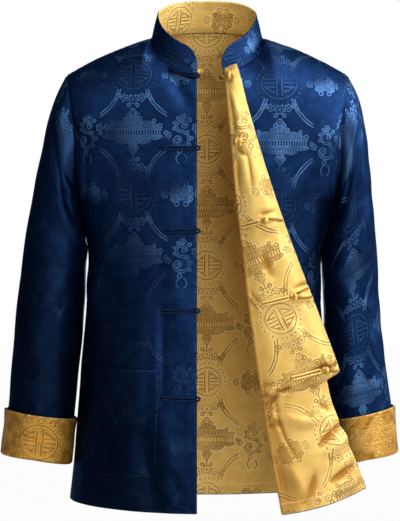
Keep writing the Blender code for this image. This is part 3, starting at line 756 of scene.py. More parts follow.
def mesh_object(
    name: str, places: Array, quads: Array, uv: Array, slots: Array, materials: Sequence[Material]
) -> Piece:
    """A smooth mesh object, at the origin, from whole arrays.

    Args:
        name: The piece's name.
        places: Its vertices.
        quads: Four vertex numbers a face; a repeated number makes a triangle.
        uv: Flat coordinates for each corner of each face.
        slots: A material number for each face.
        materials: The materials.

    Returns:
        The object, linked to the scene.
    """
    mesh = bpy.data.meshes.new(name)
    triangle = quads[:, 3] == quads[:, 0]
    totals = np.where(triangle, 3, 4)
    keep = np.ones(quads.shape, bool)
    keep[:, 3] = ~triangle
    mesh.vertices.add(len(places))
    mesh.vertices.foreach_set("co", np.ascontiguousarray(places, np.float32).ravel())
    mesh.loops.add(int(totals.sum()))
    mesh.loops.foreach_set("vertex_index", quads[keep].astype(np.int32))
    mesh.polygons.add(len(quads))
    starts = np.concatenate([[0], np.cumsum(totals)[:-1]]).astype(np.int32)
    mesh.polygons.foreach_set("loop_start", starts)
    mesh.polygons.foreach_set("material_index", slots.astype(np.int32))
    for material in materials:
        mesh.materials.append(material)
    layer = mesh.uv_layers.new(name="cloth")
    layer.data.foreach_set("uv", uv[keep].astype(np.float32).ravel())
    mesh.update(calc_edges=True)
    mesh.validate()
    mesh.shade_smooth()
    return linked(name, mesh)


def edge_loops(rows: int, across: int, wraps: bool) -> list[Array]:
    """The boundary of a grid as closed loops of row and column numbers."""
    j = np.arange(across)
    if wraps:
        return [np.stack([np.full(across, row), j], axis=-1) for row in (0, rows - 1)]
    i = np.arange(rows)
    sides = (
        np.stack([np.zeros(across, int), j], axis=-1)[:-1],
        np.stack([i, np.full(rows, across - 1)], axis=-1)[:-1],
        np.stack([np.full(across, rows - 1), j[::-1]], axis=-1)[:-1],
        np.stack([i[::-1], np.zeros(rows, int)], axis=-1)[:-1],
    )
    return [np.concatenate(sides)]


def shell(
    name: str,
    sheet: Sheet,
    wall: Array | float,
    materials: Sequence[Material],
    piped: bool = False,
) -> Piece:
    """A closed double sheet: the middle surface moved half the wall each way along its normals,
    joined all round by a turned edge of two narrow bands.

    Args:
        name: The piece's name.
        sheet: The cloth.
        wall: Its thickness, everywhere or at each point.
        materials: The right side's and the reverse's.
        piped: Whether the reverse comes round to the crest of the edge.

    Returns:
        The object, with the sheet's hem distance and its painted shade as attributes.
    """
    rows, across = sheet.place.shape[:2]
    count = rows * across
    half = np.broadcast_to(np.asarray(wall, float) / 2, (rows, across))[..., None]
    lift = sheet.normal * half
    corners, uv = corners_of(rows, across, sheet.wraps, across), sheet.corner_map()
    looks_out = sheet.looks_out(corners)
    turn = slice(None, None, 1 if looks_out else -1)
    places = [(sheet.place + lift).reshape(-1, 3), (sheet.place - lift).reshape(-1, 3)]
    quads = [corners[:, turn], count + corners[:, ::-1][:, turn]]
    maps = [uv[:, turn], uv[:, ::-1][:, turn]]
    slots = [np.zeros(len(corners)), np.ones(len(corners))]
    made = 2 * count
    for number, loop in enumerate(edge_loops(rows, across, sheet.wraps)):
        at, ring = loop[:, 0] * across + loop[:, 1], made + np.arange(len(loop))
        on = np.roll(np.arange(len(loop)), -1)
        front = np.stack([at, ring, ring[on], at[on]], axis=-1)
        behind = np.stack([ring, count + at, count + at[on], ring[on]], axis=-1)
        flat = sheet.edge_map(loop)
        flat = np.stack([flat, flat, flat[on], flat[on]], axis=1)
        way = slice(None, None, -1 if (number == 1) == looks_out else 1)
        quads += [front[:, way], behind[:, way]]
        maps += [flat[:, way], flat[:, way]]
        slots += [np.zeros(len(loop)), (loop[:, 0] > 0) & piped]
        places.append(sheet.crest(loop, half))
        made += len(loop)
    obj = mesh_object(name, *map(np.concatenate, (places, quads, maps, slots)), materials)
    hem = np.ones(count) if sheet.hem is None else sheet.hem.ravel()
    painted_shade = np.zeros(count) if sheet.painted_shade is None else sheet.painted_shade.ravel()
    for label, values, on_crest in (("hem", hem, hem.min()), ("painted_shade", painted_shade, 0.0)):
        values = np.concatenate([values, values, np.full(made - 2 * count, on_crest)])
        layer = obj.data.attributes.new(label, "FLOAT", "POINT")
        layer.data.foreach_set("value", values.astype(np.float32))
    return obj


def tube(
    name: str, path: Array, radius: Array | float, sides: int, material: Material
) -> Piece:
    """A round cord along a path: circles set square to the path, closed by a point at each end.

    Args:
        name: The piece's name.
        path: The centre line's points.
        radius: The radius, everywhere or at each point.
        sides: Corners of each circle.
        material: Its finish.

    Returns:
        The object.
    """
    ahead = unit(np.gradient(path, axis=0))
    side = unit(np.cross(ahead, np.array([0.0, -1.0, 0.0])))
    up = np.cross(side, ahead)
    angle = (np.arange(sides) / sides * TAU)[None, :, None]
    size = np.broadcast_to(np.asarray(radius, float), (len(path),))[:, None, None]
    rings = path[:, None] + (np.cos(angle) * side[:, None] + np.sin(angle) * up[:, None]) * size
    reach = float(size.ravel()[0]) * CORD_TIP
    tips = np.stack([path[0] - ahead[0] * reach, path[-1] + ahead[-1] * reach])
    quads = closed_rings(len(path), sides)
    around = corners_of(len(path), sides, True, sides + 1)
    along = run_along(path[:, None], 0)[:, 0]
    turns = np.linspace(0, TAU * float(np.mean(size)), sides + 1)
    flat = np.stack(np.broadcast_arrays(turns[None], along[:, None]), axis=-1).reshape(-1, 2)
    uv = np.concatenate([flat[around], np.broadcast_to(flat[:1], (2 * sides, 4, 2))])
    places = np.concatenate([rings.reshape(-1, 3), tips])
    return mesh_object(name, places, quads, uv, np.zeros(len(quads)), [material])


# ---------------------------------------------------------------- numbers that vary over cloth
class Field:
    """A number that varies over the cloth, carried by a shader node's output."""

    def __init__(self, socket: Socket) -> None:
        """Holds the output socket that carries the number."""
        self.socket = socket

    @property
    def tree(self) -> Tree:
        """The node tree that the number is worked out in."""
        return self.socket.id_data

    def math(self, operation: str, *others: "Field | float") -> "Field":
        """One Math node, with this number as its first value.

        Args:
            operation: The Math node's operation.
            others: Its second and third values.

        Returns:
            The result.
        """
        node = self.tree.nodes.new("ShaderNodeMath")
        node.operation = operation
        for place, value in zip(node.inputs, (self, *others)):
            if isinstance(value, Field):
                self.tree.links.new(value.socket, place)
            else:
                place.default_value = value
        return Field(node.outputs[0])

    def __add__(self, other: "Field | float") -> "Field":
        """Their sum."""
        return self.math("ADD", other)

    def __sub__(self, other: "Field | float") -> "Field":
        """Their difference."""
        return self.math("SUBTRACT", other)

    def __mul__(self, other: "Field | float") -> "Field":
        """Their product."""
        return self.math("MULTIPLY", other)

    def __neg__(self) -> "Field":
        """Its negative."""
        return self.math("MULTIPLY", -1.0)

    def __rsub__(self, number: float) -> "Field":
        """A plain number less this one."""
        return self.math("MULTIPLY_ADD", -1.0, number)

    def __abs__(self) -> "Field":
        """Its size."""
        return self.math("ABSOLUTE")

    def __or__(self, other: "Field") -> "Field":
        """Both figures together: the lesser of two distances."""
        return self.math("MINIMUM", other)

    def __and__(self, other: "Field | float") -> "Field":
        """What two figures share: the greater of two distances."""
        return self.math("MAXIMUM", other)

    def wrapped(self, span: float) -> "Field":
        """The number brought back into a repeat of the given span, centred on 0."""
        return self.math("WRAP", span / 2, -span / 2)

    def line(self, width: float) -> "Field":
        """The distance from a line of that half width along this number's zero."""
        return abs(self) - width

    def pair(self, apart: float, width: float) -> "Field":
        """The distance from two lines of that half width, each that far from zero."""
        return (abs(self) - apart).line(width)

    def step(self, low: float, high: float) -> "Field":
        """A smooth step from 0 at low to 1 at high; low may be the greater."""
        node = self.tree.nodes.new("ShaderNodeMapRange")
        node.interpolation_type = "SMOOTHSTEP"
        self.tree.links.new(self.socket, node.inputs["Value"])
        rising = low < high
        node.inputs["From Min"].default_value = min(low, high)
        node.inputs["From Max"].default_value = max(low, high)
        node.inputs["To Min"].default_value = 0.0 if rising else 1.0
        node.inputs["To Max"].default_value = 1.0 if rising else 0.0
        return Field(node.outputs["Result"])


class Spot:
    """A place in the cloth's repeat, as an x and a y in millimetres from some centre."""

    def __init__(self, x: Field, y: Field) -> None:
        """Holds both coordinates and joins them as a vector."""
        self.x, self.y = x, y
        node = x.tree.nodes.new("ShaderNodeCombineXYZ")
        x.tree.links.new(x.socket, node.inputs["X"])
        x.tree.links.new(y.socket, node.inputs["Y"])
        self.vector = node.outputs[0]

    def away(self, x: float, y: float) -> Field:
        """The distance from a centre."""
        tree = self.x.tree
        node = tree.nodes.new("ShaderNodeVectorMath")
        node.operation = "DISTANCE"
        tree.links.new(self.vector, node.inputs[0])
        node.inputs[1].default_value = (x, y, 0.0)
        return Field(node.outputs["Value"])

PETAL_SWELL, HEART = 0.24, 0.28  # a flower's petals and the dot at its heart, in its radii


class Ring(NamedTuple):
    """A ring: its centre, its radius and its line's half width, in millimetres."""

    x: float
    y: float
    radius: float
    line: float

    def drawn(self, spot: Spot) -> Field:
        """The distance from the ring's line."""
        return (spot.away(self.x, self.y) - self.radius).line(self.line)


class Rosette(NamedTuple):
    """A flower: its centre, its radius, its petals and its outline's half width."""

    x: float
    y: float
    radius: float
    petals: int
    line: float

    def drawn(self, spot: Spot) -> Field:
        """The distance from its outline, a ring whose radius swells once a petal, and from the
        dot at its heart."""
        away = spot.away(self.x, self.y)
        turn = (spot.y - self.y).math("ARCTAN2", spot.x - self.x)
        petal = (turn * float(self.petals)).math("COSINE") * (PETAL_SWELL * self.radius)
        return (away - petal - self.radius).line(self.line) | (away - HEART * self.radius)


class Bar(NamedTuple):
    """A straight bar: its centre and its half sizes."""

    x: float
    y: float
    half_x: float
    half_y: float

    def drawn(self, spot: Spot) -> Field:
        """The distance from the bar."""
        return (spot.x - self.x).line(self.half_x) & (spot.y - self.y).line(self.half_y)


class Lobe(NamedTuple):
    """An ellipse: its centre and its half sizes."""

    x: float
    y: float
    half_x: float
    half_y: float

    def drawn(self, spot: Spot) -> Field:
        """About the distance into the ellipse."""
        across = ((spot.x - self.x) * (1 / self.half_x)).math("POWER", 2.0)
        along = ((spot.y - self.y) * (1 / self.half_y)).math("POWER", 2.0)
        return ((across + along).math("SQRT") - 1.0) * min(self.half_x, self.half_y)


def drawn(spot: Spot, motifs: Sequence[Ring | Rosette | Bar | Lobe]) -> Field:
    """Several motifs about one spot: the least of their distances."""
    return reduce(or_, (motif.drawn(spot) for motif in motifs))


# ---------------------------------------------------------------- effects shared by the finishes
def new_group(name: str, takes: dict[str, str], gives: Sequence[str]) -> Tree:
    """An empty shader group.

    Args:
        name: The group's name.
        takes: A kind of socket for each input's name.
        gives: The names of its outputs, all of them numbers.

    Returns:
        The group, with its two ends placed.
    """
    tree = bpy.data.node_groups.new(name, "ShaderNodeTree")
    for label, kind in takes.items():
        tree.interface.new_socket(name=label, in_out="INPUT", socket_type=f"NodeSocket{kind}")
    for label in gives:
        tree.interface.new_socket(name=label, in_out="OUTPUT", socket_type="NodeSocketFloat")
    tree.nodes.new("NodeGroupInput")
    tree.nodes.new("NodeGroupOutput")
    return tree


def taken(tree: Tree, label: str) -> Socket:
    """A group's input of that name, as a socket to read."""
    ends = {node.bl_idname: node for node in tree.nodes}
    return ends["NodeGroupInput"].outputs[label]


def given(tree: Tree, **results: Field) -> Tree:
    """The group, with each result linked to its output of that name."""
    ends = {node.bl_idname: node for node in tree.nodes}
    for label, result in results.items():
        tree.links.new(result.socket, ends["NodeGroupOutput"].inputs[label])
    return tree


def apart(tree: Tree, vector: Socket) -> tuple[Field, Field, Field]:
    """A vector's three coordinates."""
    node = tree.nodes.new("ShaderNodeSeparateXYZ")
    tree.links.new(vector, node.inputs[0])
    x, y, z = (Field(output) for output in node.outputs)
    return x, y, z


def noise_node(tree: Tree, vector: Socket, scale: float, detail: float) -> Node:
    """A Noise texture on that vector."""
    node = tree.nodes.new("ShaderNodeTexNoise")
    node.inputs["Scale"].default_value = scale
    node.inputs["Detail"].default_value = detail
    tree.links.new(vector, node.inputs["Vector"])
    return node


def noise(tree: Tree, vector: Socket, scale: float, detail: float) -> Field:
    """A Noise texture's value on that vector."""
    return Field(noise_node(tree, vector, scale, detail).outputs[0])


def scaled(tree: Tree, vector: Socket, by: Place) -> Socket:
    """A vector with each coordinate multiplied."""
    node = tree.nodes.new("ShaderNodeVectorMath")
    node.operation = "MULTIPLY"
    tree.links.new(vector, node.inputs[0])
    node.inputs[1].default_value = by
    return node.outputs[0]


class Patches(NamedTuple):
    """Soft patches: a Noise texture's scale and detail, and the values that they rise between."""

    scale: float
    detail: float
    low: float
    high: float

    def on(self, tree: Tree, vector: Socket) -> Field:
        """The patches on that vector, from 0 to 1."""
        return noise(tree, vector, self.scale, self.detail).step(self.low, self.high)


@dataclass(frozen=True)
class Medallion:
    """A round fret medallion, in millimetres: a rim, beads round it, and a lattice of upright
    and level bars whose ends step back to four slanting sides."""

    ring: float = 36.0
    rim_inset: float = 5.5
    rim_line: float = 0.8
    bead_outset: float = 4.0
    beads: int = 26
    bead_radius: float = 1.6
    lattice_inset: float = 9.0
    bar_line: float = 1.0
    upright_x: float = 4.6
    upright_top: float = 24.0
    level_pitch: float = 7.6
    level_end: float = 8.0
    slant_lean: float = 1.5
    slant_reach: float = 37.0
    slant_share: float = 0.55
    slant_line: float = 0.9

    def drawn(self, spot: Spot) -> Field:
        """The distance from the medallion's lines, in one quarter of it."""
        away = spot.away(0, 0)
        rim = (away - (self.ring - self.rim_inset)).line(self.rim_line)
        beaded = self.ring + self.bead_outset
        turn = spot.y.math("ARCTAN2", spot.x).wrapped(TAU / self.beads) * beaded
        beads = ((away - beaded).math("POWER", 2.0) + turn * turn).math("SQRT")
        uprights = (spot.x - self.upright_x).line(self.bar_line) & (spot.y - self.upright_top)
        slant = (spot.x + spot.y * self.slant_lean - self.slant_reach) * self.slant_share
        beyond = self.level_end - spot.x
        levels = spot.y.wrapped(self.level_pitch).line(self.bar_line) & beyond & slant
        lattice = uprights | levels | (slant.line(self.slant_line) & beyond)
        inside = away - (self.ring - self.lattice_inset)
        return rim | (beads - self.bead_radius) | (lattice & inside)


BOUQUET = (
    Rosette(0, 45, 6.5, 6, 0.7), Rosette(13, 42, 5.0, 5, 0.6),
    Ring(22, 38, 3.0, 0.7), Ring(7, 54, 2.6, 0.7), Ring(27, 44, 2.0, 0.7),
)
CLOUD = (
    Lobe(0, 0, 47, 8), Lobe(20, 8, 18, 9), Lobe(0, 15, 11, 11),
    Lobe(35, -5, 13, 7), Lobe(15, -11, 13, 8), Lobe(0, -17, 7, 8),
)
HALO = (Lobe(0, 0, 19, 8), Lobe(9, 9, 7, 5))
CLOUD_CURLS = (Ring(20, 10, 6.0, 0.7), Ring(20, 10, 2.4, 0.7), Ring(11, -12, 4.6, 0.7))
FINIAL = (Rosette(0, 31, 4.4, 5, 0.7), Ring(7, 26, 2.6, 0.7), Ring(12, 20, 2.2, 0.6))
PENDANT = (Rosette(0, -30, 4.0, 4, 0.7), Bar(0, -39, 0.7, 4.5), Ring(6, -25, 2.2, 0.6))
CLOUD_TIPS = (Ring(51, -1, 2.6, 0.7), Ring(42, 9, 2.8, 0.7), Ring(33, 17, 2.2, 0.6))
VINE_CURLS = (Ring(4.4, 9, 3.2, 0.7), Ring(-5.4, -12, 5.2, 0.7), Ring(-4, -12, 1.8, 0.6))
BUDS = (
    Ring(-10.5, 13, 2.2, 0.6), Ring(-11, 4, 1.9, 0.6), Ring(8.5, -1, 2.4, 0.6),
    Ring(15.5, -10, 2.2, 0.6), Ring(12.5, -21, 2.0, 0.6), Ring(12.6, 18, 2.6, 0.6),
)
BLOSSOMS = (Rosette(22, 7, 4.8, 5, 0.6), Rosette(-20, -6, 4.0, 5, 0.6))
CREST = (Rosette(3, 23, 3.8, 5, 0.6), Ring(-5, 21, 2.4, 0.6))
HOOK, BRACKET = Ring(-3, -30, 3.2, 0.7), Ring(0, -42, 8.0, 0.7)
SPRIG = (
    Rosette(0, 0, 7.4, 4, 0.7), Ring(14, 8, 3.2, 0.6),
    Ring(7, 16, 3.0, 0.6), Rosette(26, 2, 3.8, 5, 0.6),
)


@dataclass(frozen=True)
class Cartouche:
    """A cloud of lobes in tiers, in millimetres: full of lace, with a row of upright bars and
    two rails through it, a flower on top and a pendant under it."""

    middle: float = -1.0
    bar_pitch: float = 4.2
    bar_line: float = 0.75
    bar_top: float = 3.4
    bar_reach: float = 43.0
    rail_at: float = 4.6
    rail_line: float = 0.5
    rail_reach: float = 45.0
    lace_from: float = 5.4
    curl_gap: float = 1.3

    def drawn(self, spot: Spot, lace: Field) -> Field:
        """The distance from the cartouche's lines, in one half of it."""
        cloud, curls = drawn(spot, CLOUD), drawn(spot, CLOUD_CURLS)
        tier = abs(spot.y - self.middle)
        bars = spot.x.wrapped(self.bar_pitch).line(self.bar_line)
        bars = bars & (tier - self.bar_top) & (spot.x - self.bar_reach)
        rail = (tier - self.rail_at).line(self.rail_line) & (spot.x - self.rail_reach)
        filled = lace & cloud & (self.lace_from - tier) & (self.curl_gap - curls)
        ends = drawn(spot, FINIAL + PENDANT + CLOUD_TIPS)
        return filled | bars | rail | (curls & cloud) | ends


@dataclass(frozen=True)
class Vine:
    """A double-lined vine, in millimetres: a small arc and a large one, each curling in on
    itself, with buds and blossoms along it, and below it a hook and two brackets."""

    small: float = 8.0
    small_lines: Span = (1.6, 0.6)
    large: float = 11.5
    large_lines: Span = (1.7, 0.6)
    bracket_from: float = 3.5

    def drawn(self, spot: Spot, mirrored: Spot) -> Field:
        """The distance from the vine's lines."""
        upper = (spot.away(0, self.small) - self.small).pair(*self.small_lines)
        lower = (spot.away(0, -self.large) - self.large).pair(*self.large_lines)
        upper = upper & (spot.x | (self.small - spot.y))
        lower = lower & (-spot.x | (spot.y + self.large))
        bracket = BRACKET.drawn(mirrored) & (self.bracket_from - mirrored.x)
        return upper | lower | bracket | drawn(spot, (*VINE_CURLS, *BUDS, *BLOSSOMS, *CREST, HOOK))


@dataclass(frozen=True)
class Lace:
    """Staggered rows of small open flowers with a curl between each two, rippled by a slow
    wave; sizes are in millimetres or in pitches."""

    pitch: float = 7.4
    rise: float = 1.1
    wave: float = 1.6
    wave_turn: float = 0.16
    flower: float = 0.36
    petals: int = 5
    flower_line: float = 0.45
    curl: float = 0.24
    curl_line: float = 0.55

    def drawn(self, spot: Spot) -> Field:
        """The distance from the lace's lines."""
        pitch, rise = self.pitch, self.rise * self.pitch
        bent = spot.y + (spot.x * self.wave_turn).math("SINE") * self.wave
        place = Spot(spot.x.wrapped(pitch), bent.wrapped(rise))
        between = Spot((spot.x + pitch / 2).wrapped(pitch), (bent + rise / 2).wrapped(rise))
        flower = Rosette(0, 0, self.flower * pitch, self.petals, self.flower_line)
        return flower.drawn(place) | Ring(0, 0, self.curl * pitch, self.curl_line).drawn(between)


@dataclass(frozen=True)
class BrocadeRepeat:
    """The woven figure's repeat, in millimetres: round fret medallions in columns, a lacy
    cartouche between each two of them, double ogee lines from the medallions out to scrolls
    half a repeat away, and small flowers.  Every motif is a distance that is 0 on its edge and
    negative inside its lines."""

    width: float = 150.0
    height: float = 192.0
    medallion: Medallion = Medallion()
    medallion_size: float = 0.90
    cartouche: Cartouche = Cartouche()
    vine: Vine = Vine()
    lace: Lace = Lace()
    ogee_centre: Flat = (85.0, 13.0)
    ogee_radius: float = 65.0
    ogee_lines: Span = (2.2, 0.75)
    ogee_foot: float = 27.0
    ogee_reach: float = 53.0
    wander: float = 2.6
    wander_scale: float = 85.0
    edge: Span = (0.75, -0.15)
    beside: Span = (3.2, 0.5)
    # soft patches of painted sheen, where the figure shows less
    sheen_patches: Patches = Patches(30.0, 2.0, 0.28, 0.60)
    sheen_patches_share: float = 0.45
    broken: Patches = Patches(420.0, 1.0, 0.22, 0.44)
    broken_share: float = 0.6
    turned: Patches = Patches(9.0, 1.5, 0.34, 0.54)
    lacy_turn: float = 0.25

    def ogees(self, spot: Spot) -> Field:
        """Two close lines on a circle's arc, from a medallion's shoulder to a scroll's foot."""
        arc = spot.away(*self.ogee_centre) - self.ogee_radius
        ends = (self.ogee_foot - spot.y) & (spot.x - self.ogee_reach)
        return arc.pair(*self.ogee_lines) & ends

    def moved(self, tree: Tree, cloth: Socket) -> tuple[Field, Field]:
        """The flat coordinates in millimetres, wandering a little as woven lines do."""
        stray = noise_node(tree, cloth, self.wander_scale, 1.0).outputs["Color"]
        node = tree.nodes.new("ShaderNodeVectorMath")
        node.operation = "MULTIPLY_ADD"
        tree.links.new(stray, node.inputs[0])
        node.inputs[1].default_value = (self.wander, self.wander, 0.0)
        tree.links.new(scaled(tree, cloth, (1000.0, 1000.0, 1.0)), node.inputs[2])
        across, along, _ = apart(tree, node.outputs[0])
        return across - self.wander / 2, along - self.wander / 2

    def group(self) -> Tree:
        """The figure as a shader group: from the cloth's flat coordinates, in metres, it gives
        the woven lines, the ground close beside them, and from place to place whether the
        figure's floats turn to the light (1) or away from it (0)."""
        tree = new_group("brocade_figure", {"Cloth": "Vector"}, ("Line", "Shade", "Turn"))
        cloth = taken(tree, "Cloth")
        across, along = self.moved(tree, cloth)
        x, y = abs(across.wrapped(self.width)), abs(along.wrapped(self.height))
        x_between = (across + self.width / 2).wrapped(self.width)
        y_between = (along + self.height / 2).wrapped(self.height)
        even, sprig = Spot(x, y), Spot(abs(x_between), y)
        lace = self.lace.drawn(Spot(x, along))
        size = 1 / self.medallion_size
        firm = self.medallion.drawn(Spot(x * size, y * size)) * self.medallion_size
        lacy = (
            self.cartouche.drawn(Spot(x, y_between), lace)
            | (lace & drawn(sprig, HALO))
            | self.ogees(even)
            | drawn(even, BOUQUET)
            | self.vine.drawn(Spot(x_between, y_between), Spot(abs(x_between), y_between))
            | drawn(sprig, SPRIG)
        )
        figure = firm | lacy
        # painted sheen: in soft patches the figure and the ground beside it show less
        shows = self.sheen_patches.on(tree, cloth) * self.sheen_patches_share + (1 - self.sheen_patches_share)
        broken = self.broken.on(tree, cloth) * self.broken_share + (1 - self.broken_share)
        line = figure.step(*self.edge) * shows * broken
        shade = (figure.step(*self.beside) - line) * shows
        firmer = (firm - lacy).step(-0.3, 0.3) * (1 - self.lacy_turn) + self.lacy_turn
        turn = self.turned.on(tree, cloth) * firmer
        return given(tree, Line=line, Shade=shade, Turn=turn)


@dataclass(frozen=True)
class SatinWeave:
    """The satin ground: its thread pitch, its slubs, and the grain of its float ends."""

    pitch: float = 0.00046
    warp: float = 0.5
    twill: float = 0.35
    slub_grain: Place = (1 / 0.016, 900.0, 1.0)
    end_grain: Place = (700.0, 260.0, 1.0)
    slub_share: float = 0.6

    def group(self) -> Tree:
        """The weave as a shader group: Height is the threads' relief, a sine across the warp
        with a slanting sine over it, and Fleck is where slubs and float ends catch light."""
        tree = new_group("satin_weave", {"Cloth": "Vector"}, ("Height", "Fleck"))
        cloth = taken(tree, "Cloth")
        across, along, _ = apart(tree, cloth)
        turns = TAU / self.pitch
        warp = (across * turns).math("SINE") * self.warp
        twill = ((across * 0.5 + along) * turns).math("SINE") * self.twill
        slubs = noise(tree, scaled(tree, cloth, self.slub_grain), 1.0, 2.0)
        ends = noise(tree, scaled(tree, cloth, self.end_grain), 1.0, 1.0)
        fleck = slubs * self.slub_share + ends * (1 - self.slub_share)
        return given(tree, Height=warp + twill + slubs, Fleck=fleck)


@dataclass(frozen=True)
class EdgeWork:
    """What shows along a hemmed edge, in metres: its row of small stitches, the press line of
    the turned hem in painted shade, and the rubbing on the very edge with a painted highlight."""

    row: float = 0.0062
    stitch: float = 0.0034
    stitch_share: float = 0.33
    stitch_line: float = 0.00022
    press_at: float = 2.6  # in rows
    press_line: float = 0.0003
    press_width: float = 0.0016
    # where the very edge is worn and takes a painted highlight
    rub_and_edge_highlight: Span = (0.0030, 0.0004)
    patches: Patches = Patches(180.0, 3.0, 0.42, 0.66)

    def group(self) -> Tree:
        """The edge as a shader group: from the distance to the hem and the flat coordinates it
        gives the stitches, the press line for painted shade, and the rub, wear with a painted
        highlight."""
        takes = {"Hem": "Float", "Cloth": "Vector"}
        tree = new_group("edge_work", takes, ("Stitch", "Press", "Rub"))
        hem, cloth = Field(taken(tree, "Hem")), taken(tree, "Cloth")
        across, along, _ = apart(tree, cloth)
        dash = (across + along).wrapped(self.stitch).line(self.stitch * self.stitch_share)
        row = (hem - self.row).line(self.stitch_line)
        stitch = row.step(0.0002, -0.0001) * dash.step(0.0003, -0.0003)
        fold = (hem - self.press_at * self.row).line(self.press_line)
        rub = hem.step(*self.rub_and_edge_highlight) * self.patches.on(tree, cloth)
        return given(tree, Stitch=stitch, Press=fold.step(self.press_width, 0.0), Rub=rub)


# ---------------------------------------------------------------- finishes
@dataclass(frozen=True)
class Effects:
    """The shader groups that the finishes share."""

    figure: Tree
    weave: Tree
    edge: Tree


class Dye:
    """Mixes colours inside one new material."""

    def __init__(self, name: str) -> None:
        """Makes the material, with its tree and its Principled shader at hand."""
        self.material = bpy.data.materials.new(name)
        self.material.use_nodes = True
        self.tree = self.material.node_tree
        self.shader = self.tree.nodes["Principled BSDF"]

    def cloth_map(self) -> Socket:
        """The piece's own flat coordinates, in metres."""
        node = self.tree.nodes.new("ShaderNodeUVMap")
        node.uv_map = "cloth"
        return node.outputs["UV"]

    def object_place(self) -> Socket:
        """Where each point lies, in the object's own coordinates."""
        return self.tree.nodes.new("ShaderNodeTexCoord").outputs["Object"]

    def attribute(self, name: str) -> Field:
        """A number that the mesh carries at its points."""
        node = self.tree.nodes.new("ShaderNodeAttribute")
        node.attribute_name = name
        return Field(node.outputs["Fac"])

    def plain(self, colour: Colour) -> Socket:
        """One colour as a socket."""
        node = self.tree.nodes.new("ShaderNodeRGB")
        node.outputs[0].default_value = (*colour, 1.0)
        return node.outputs[0]

    def mix(self, share: Field, first: Socket, second: Colour | Socket) -> Socket:
        """A share of the way from the first colour to the second."""
        node = self.tree.nodes.new("ShaderNodeMix")
        node.data_type = "RGBA"
        self.tree.links.new(share.socket, node.inputs["Factor"])
        self.tree.links.new(first, node.inputs[6])
        if isinstance(second, tuple):
            node.inputs[7].default_value = (*second, 1.0)
        else:
            self.tree.links.new(second, node.inputs[7])
        return node.outputs[2]

    def placed(self, group: Tree, **feeds: Socket) -> dict[str, Field]:
        """What a group gives, by name, when it is placed in the tree with its inputs fed."""
        node = self.tree.nodes.new("ShaderNodeGroup")
        node.node_tree = group
        for label, socket in feeds.items():
            self.tree.links.new(socket, node.inputs[label])
        return {output.name: Field(output) for output in node.outputs}

    def bump(self, height: Field, distance: float) -> None:
        """Relief of that height, in metres, fed to the shader's normal."""
        node = self.tree.nodes.new("ShaderNodeBump")
        node.inputs["Strength"].default_value = 1.0
        node.inputs["Distance"].default_value = distance
        self.tree.links.new(height.socket, node.inputs["Height"])
        self.tree.links.new(node.outputs["Normal"], self.shader.inputs["Normal"])

    def finish(
        self, colour: Socket, roughness: Field, constants: dict[str, float | Colour]
    ) -> None:
        """The colour and the roughness fed to the shader, and its constants set.

        Args:
            colour: The base colour.
            roughness: The roughness.
            constants: A value for each of the shader's other inputs that the finish sets.
        """
        self.tree.links.new(colour, self.shader.inputs["Base Color"])
        self.tree.links.new(roughness.socket, self.shader.inputs["Roughness"])
        for label, value in constants.items():
            value = (*value, 1.0) if isinstance(value, tuple) else value
            self.shader.inputs[label].default_value = value


class Sinking(NamedTuple):
    """Painted shade that deepens towards the hem and the wearer's right: two spans of the height
    plus the lean times X, in metres, with the figure's loss, the cloth's share and its darkness."""

    lean: float
    figure_span: Span
    figure_loss: float
    cloth_span: Span
    cloth_share: float
    darkness: float


CAST, MOTTLE = Patches(9.0, 2.0, 0.34, 0.68), Patches(62.0, 3.0, 0.42, 0.60)
CAST_SHARE = 0.35  # how much of the deep colour the broad patches take
FLECK_SPAN, FLECK_SHARE = (0.52, 0.80), 0.16  # where slubs catch light, and how much
# how much painted shade the creases and the flap's fold take; how much painted shade, a painted
# highlight on the gold, the hem's press line takes; how much of the worn and highlighted colour
# the very edge takes
PAINTED_SHADE_SHARE, PRESS_SHADE_SHARE, RUB_AND_HIGHLIGHT_SHARE = 0.8, 0.25, 0.45
FLECK_GLOSS = 0.10  # how far the flecks spread the roughness
WEAVE_RELIEF, STITCH_RELIEF = 0.12, 0.8  # against the figure's relief


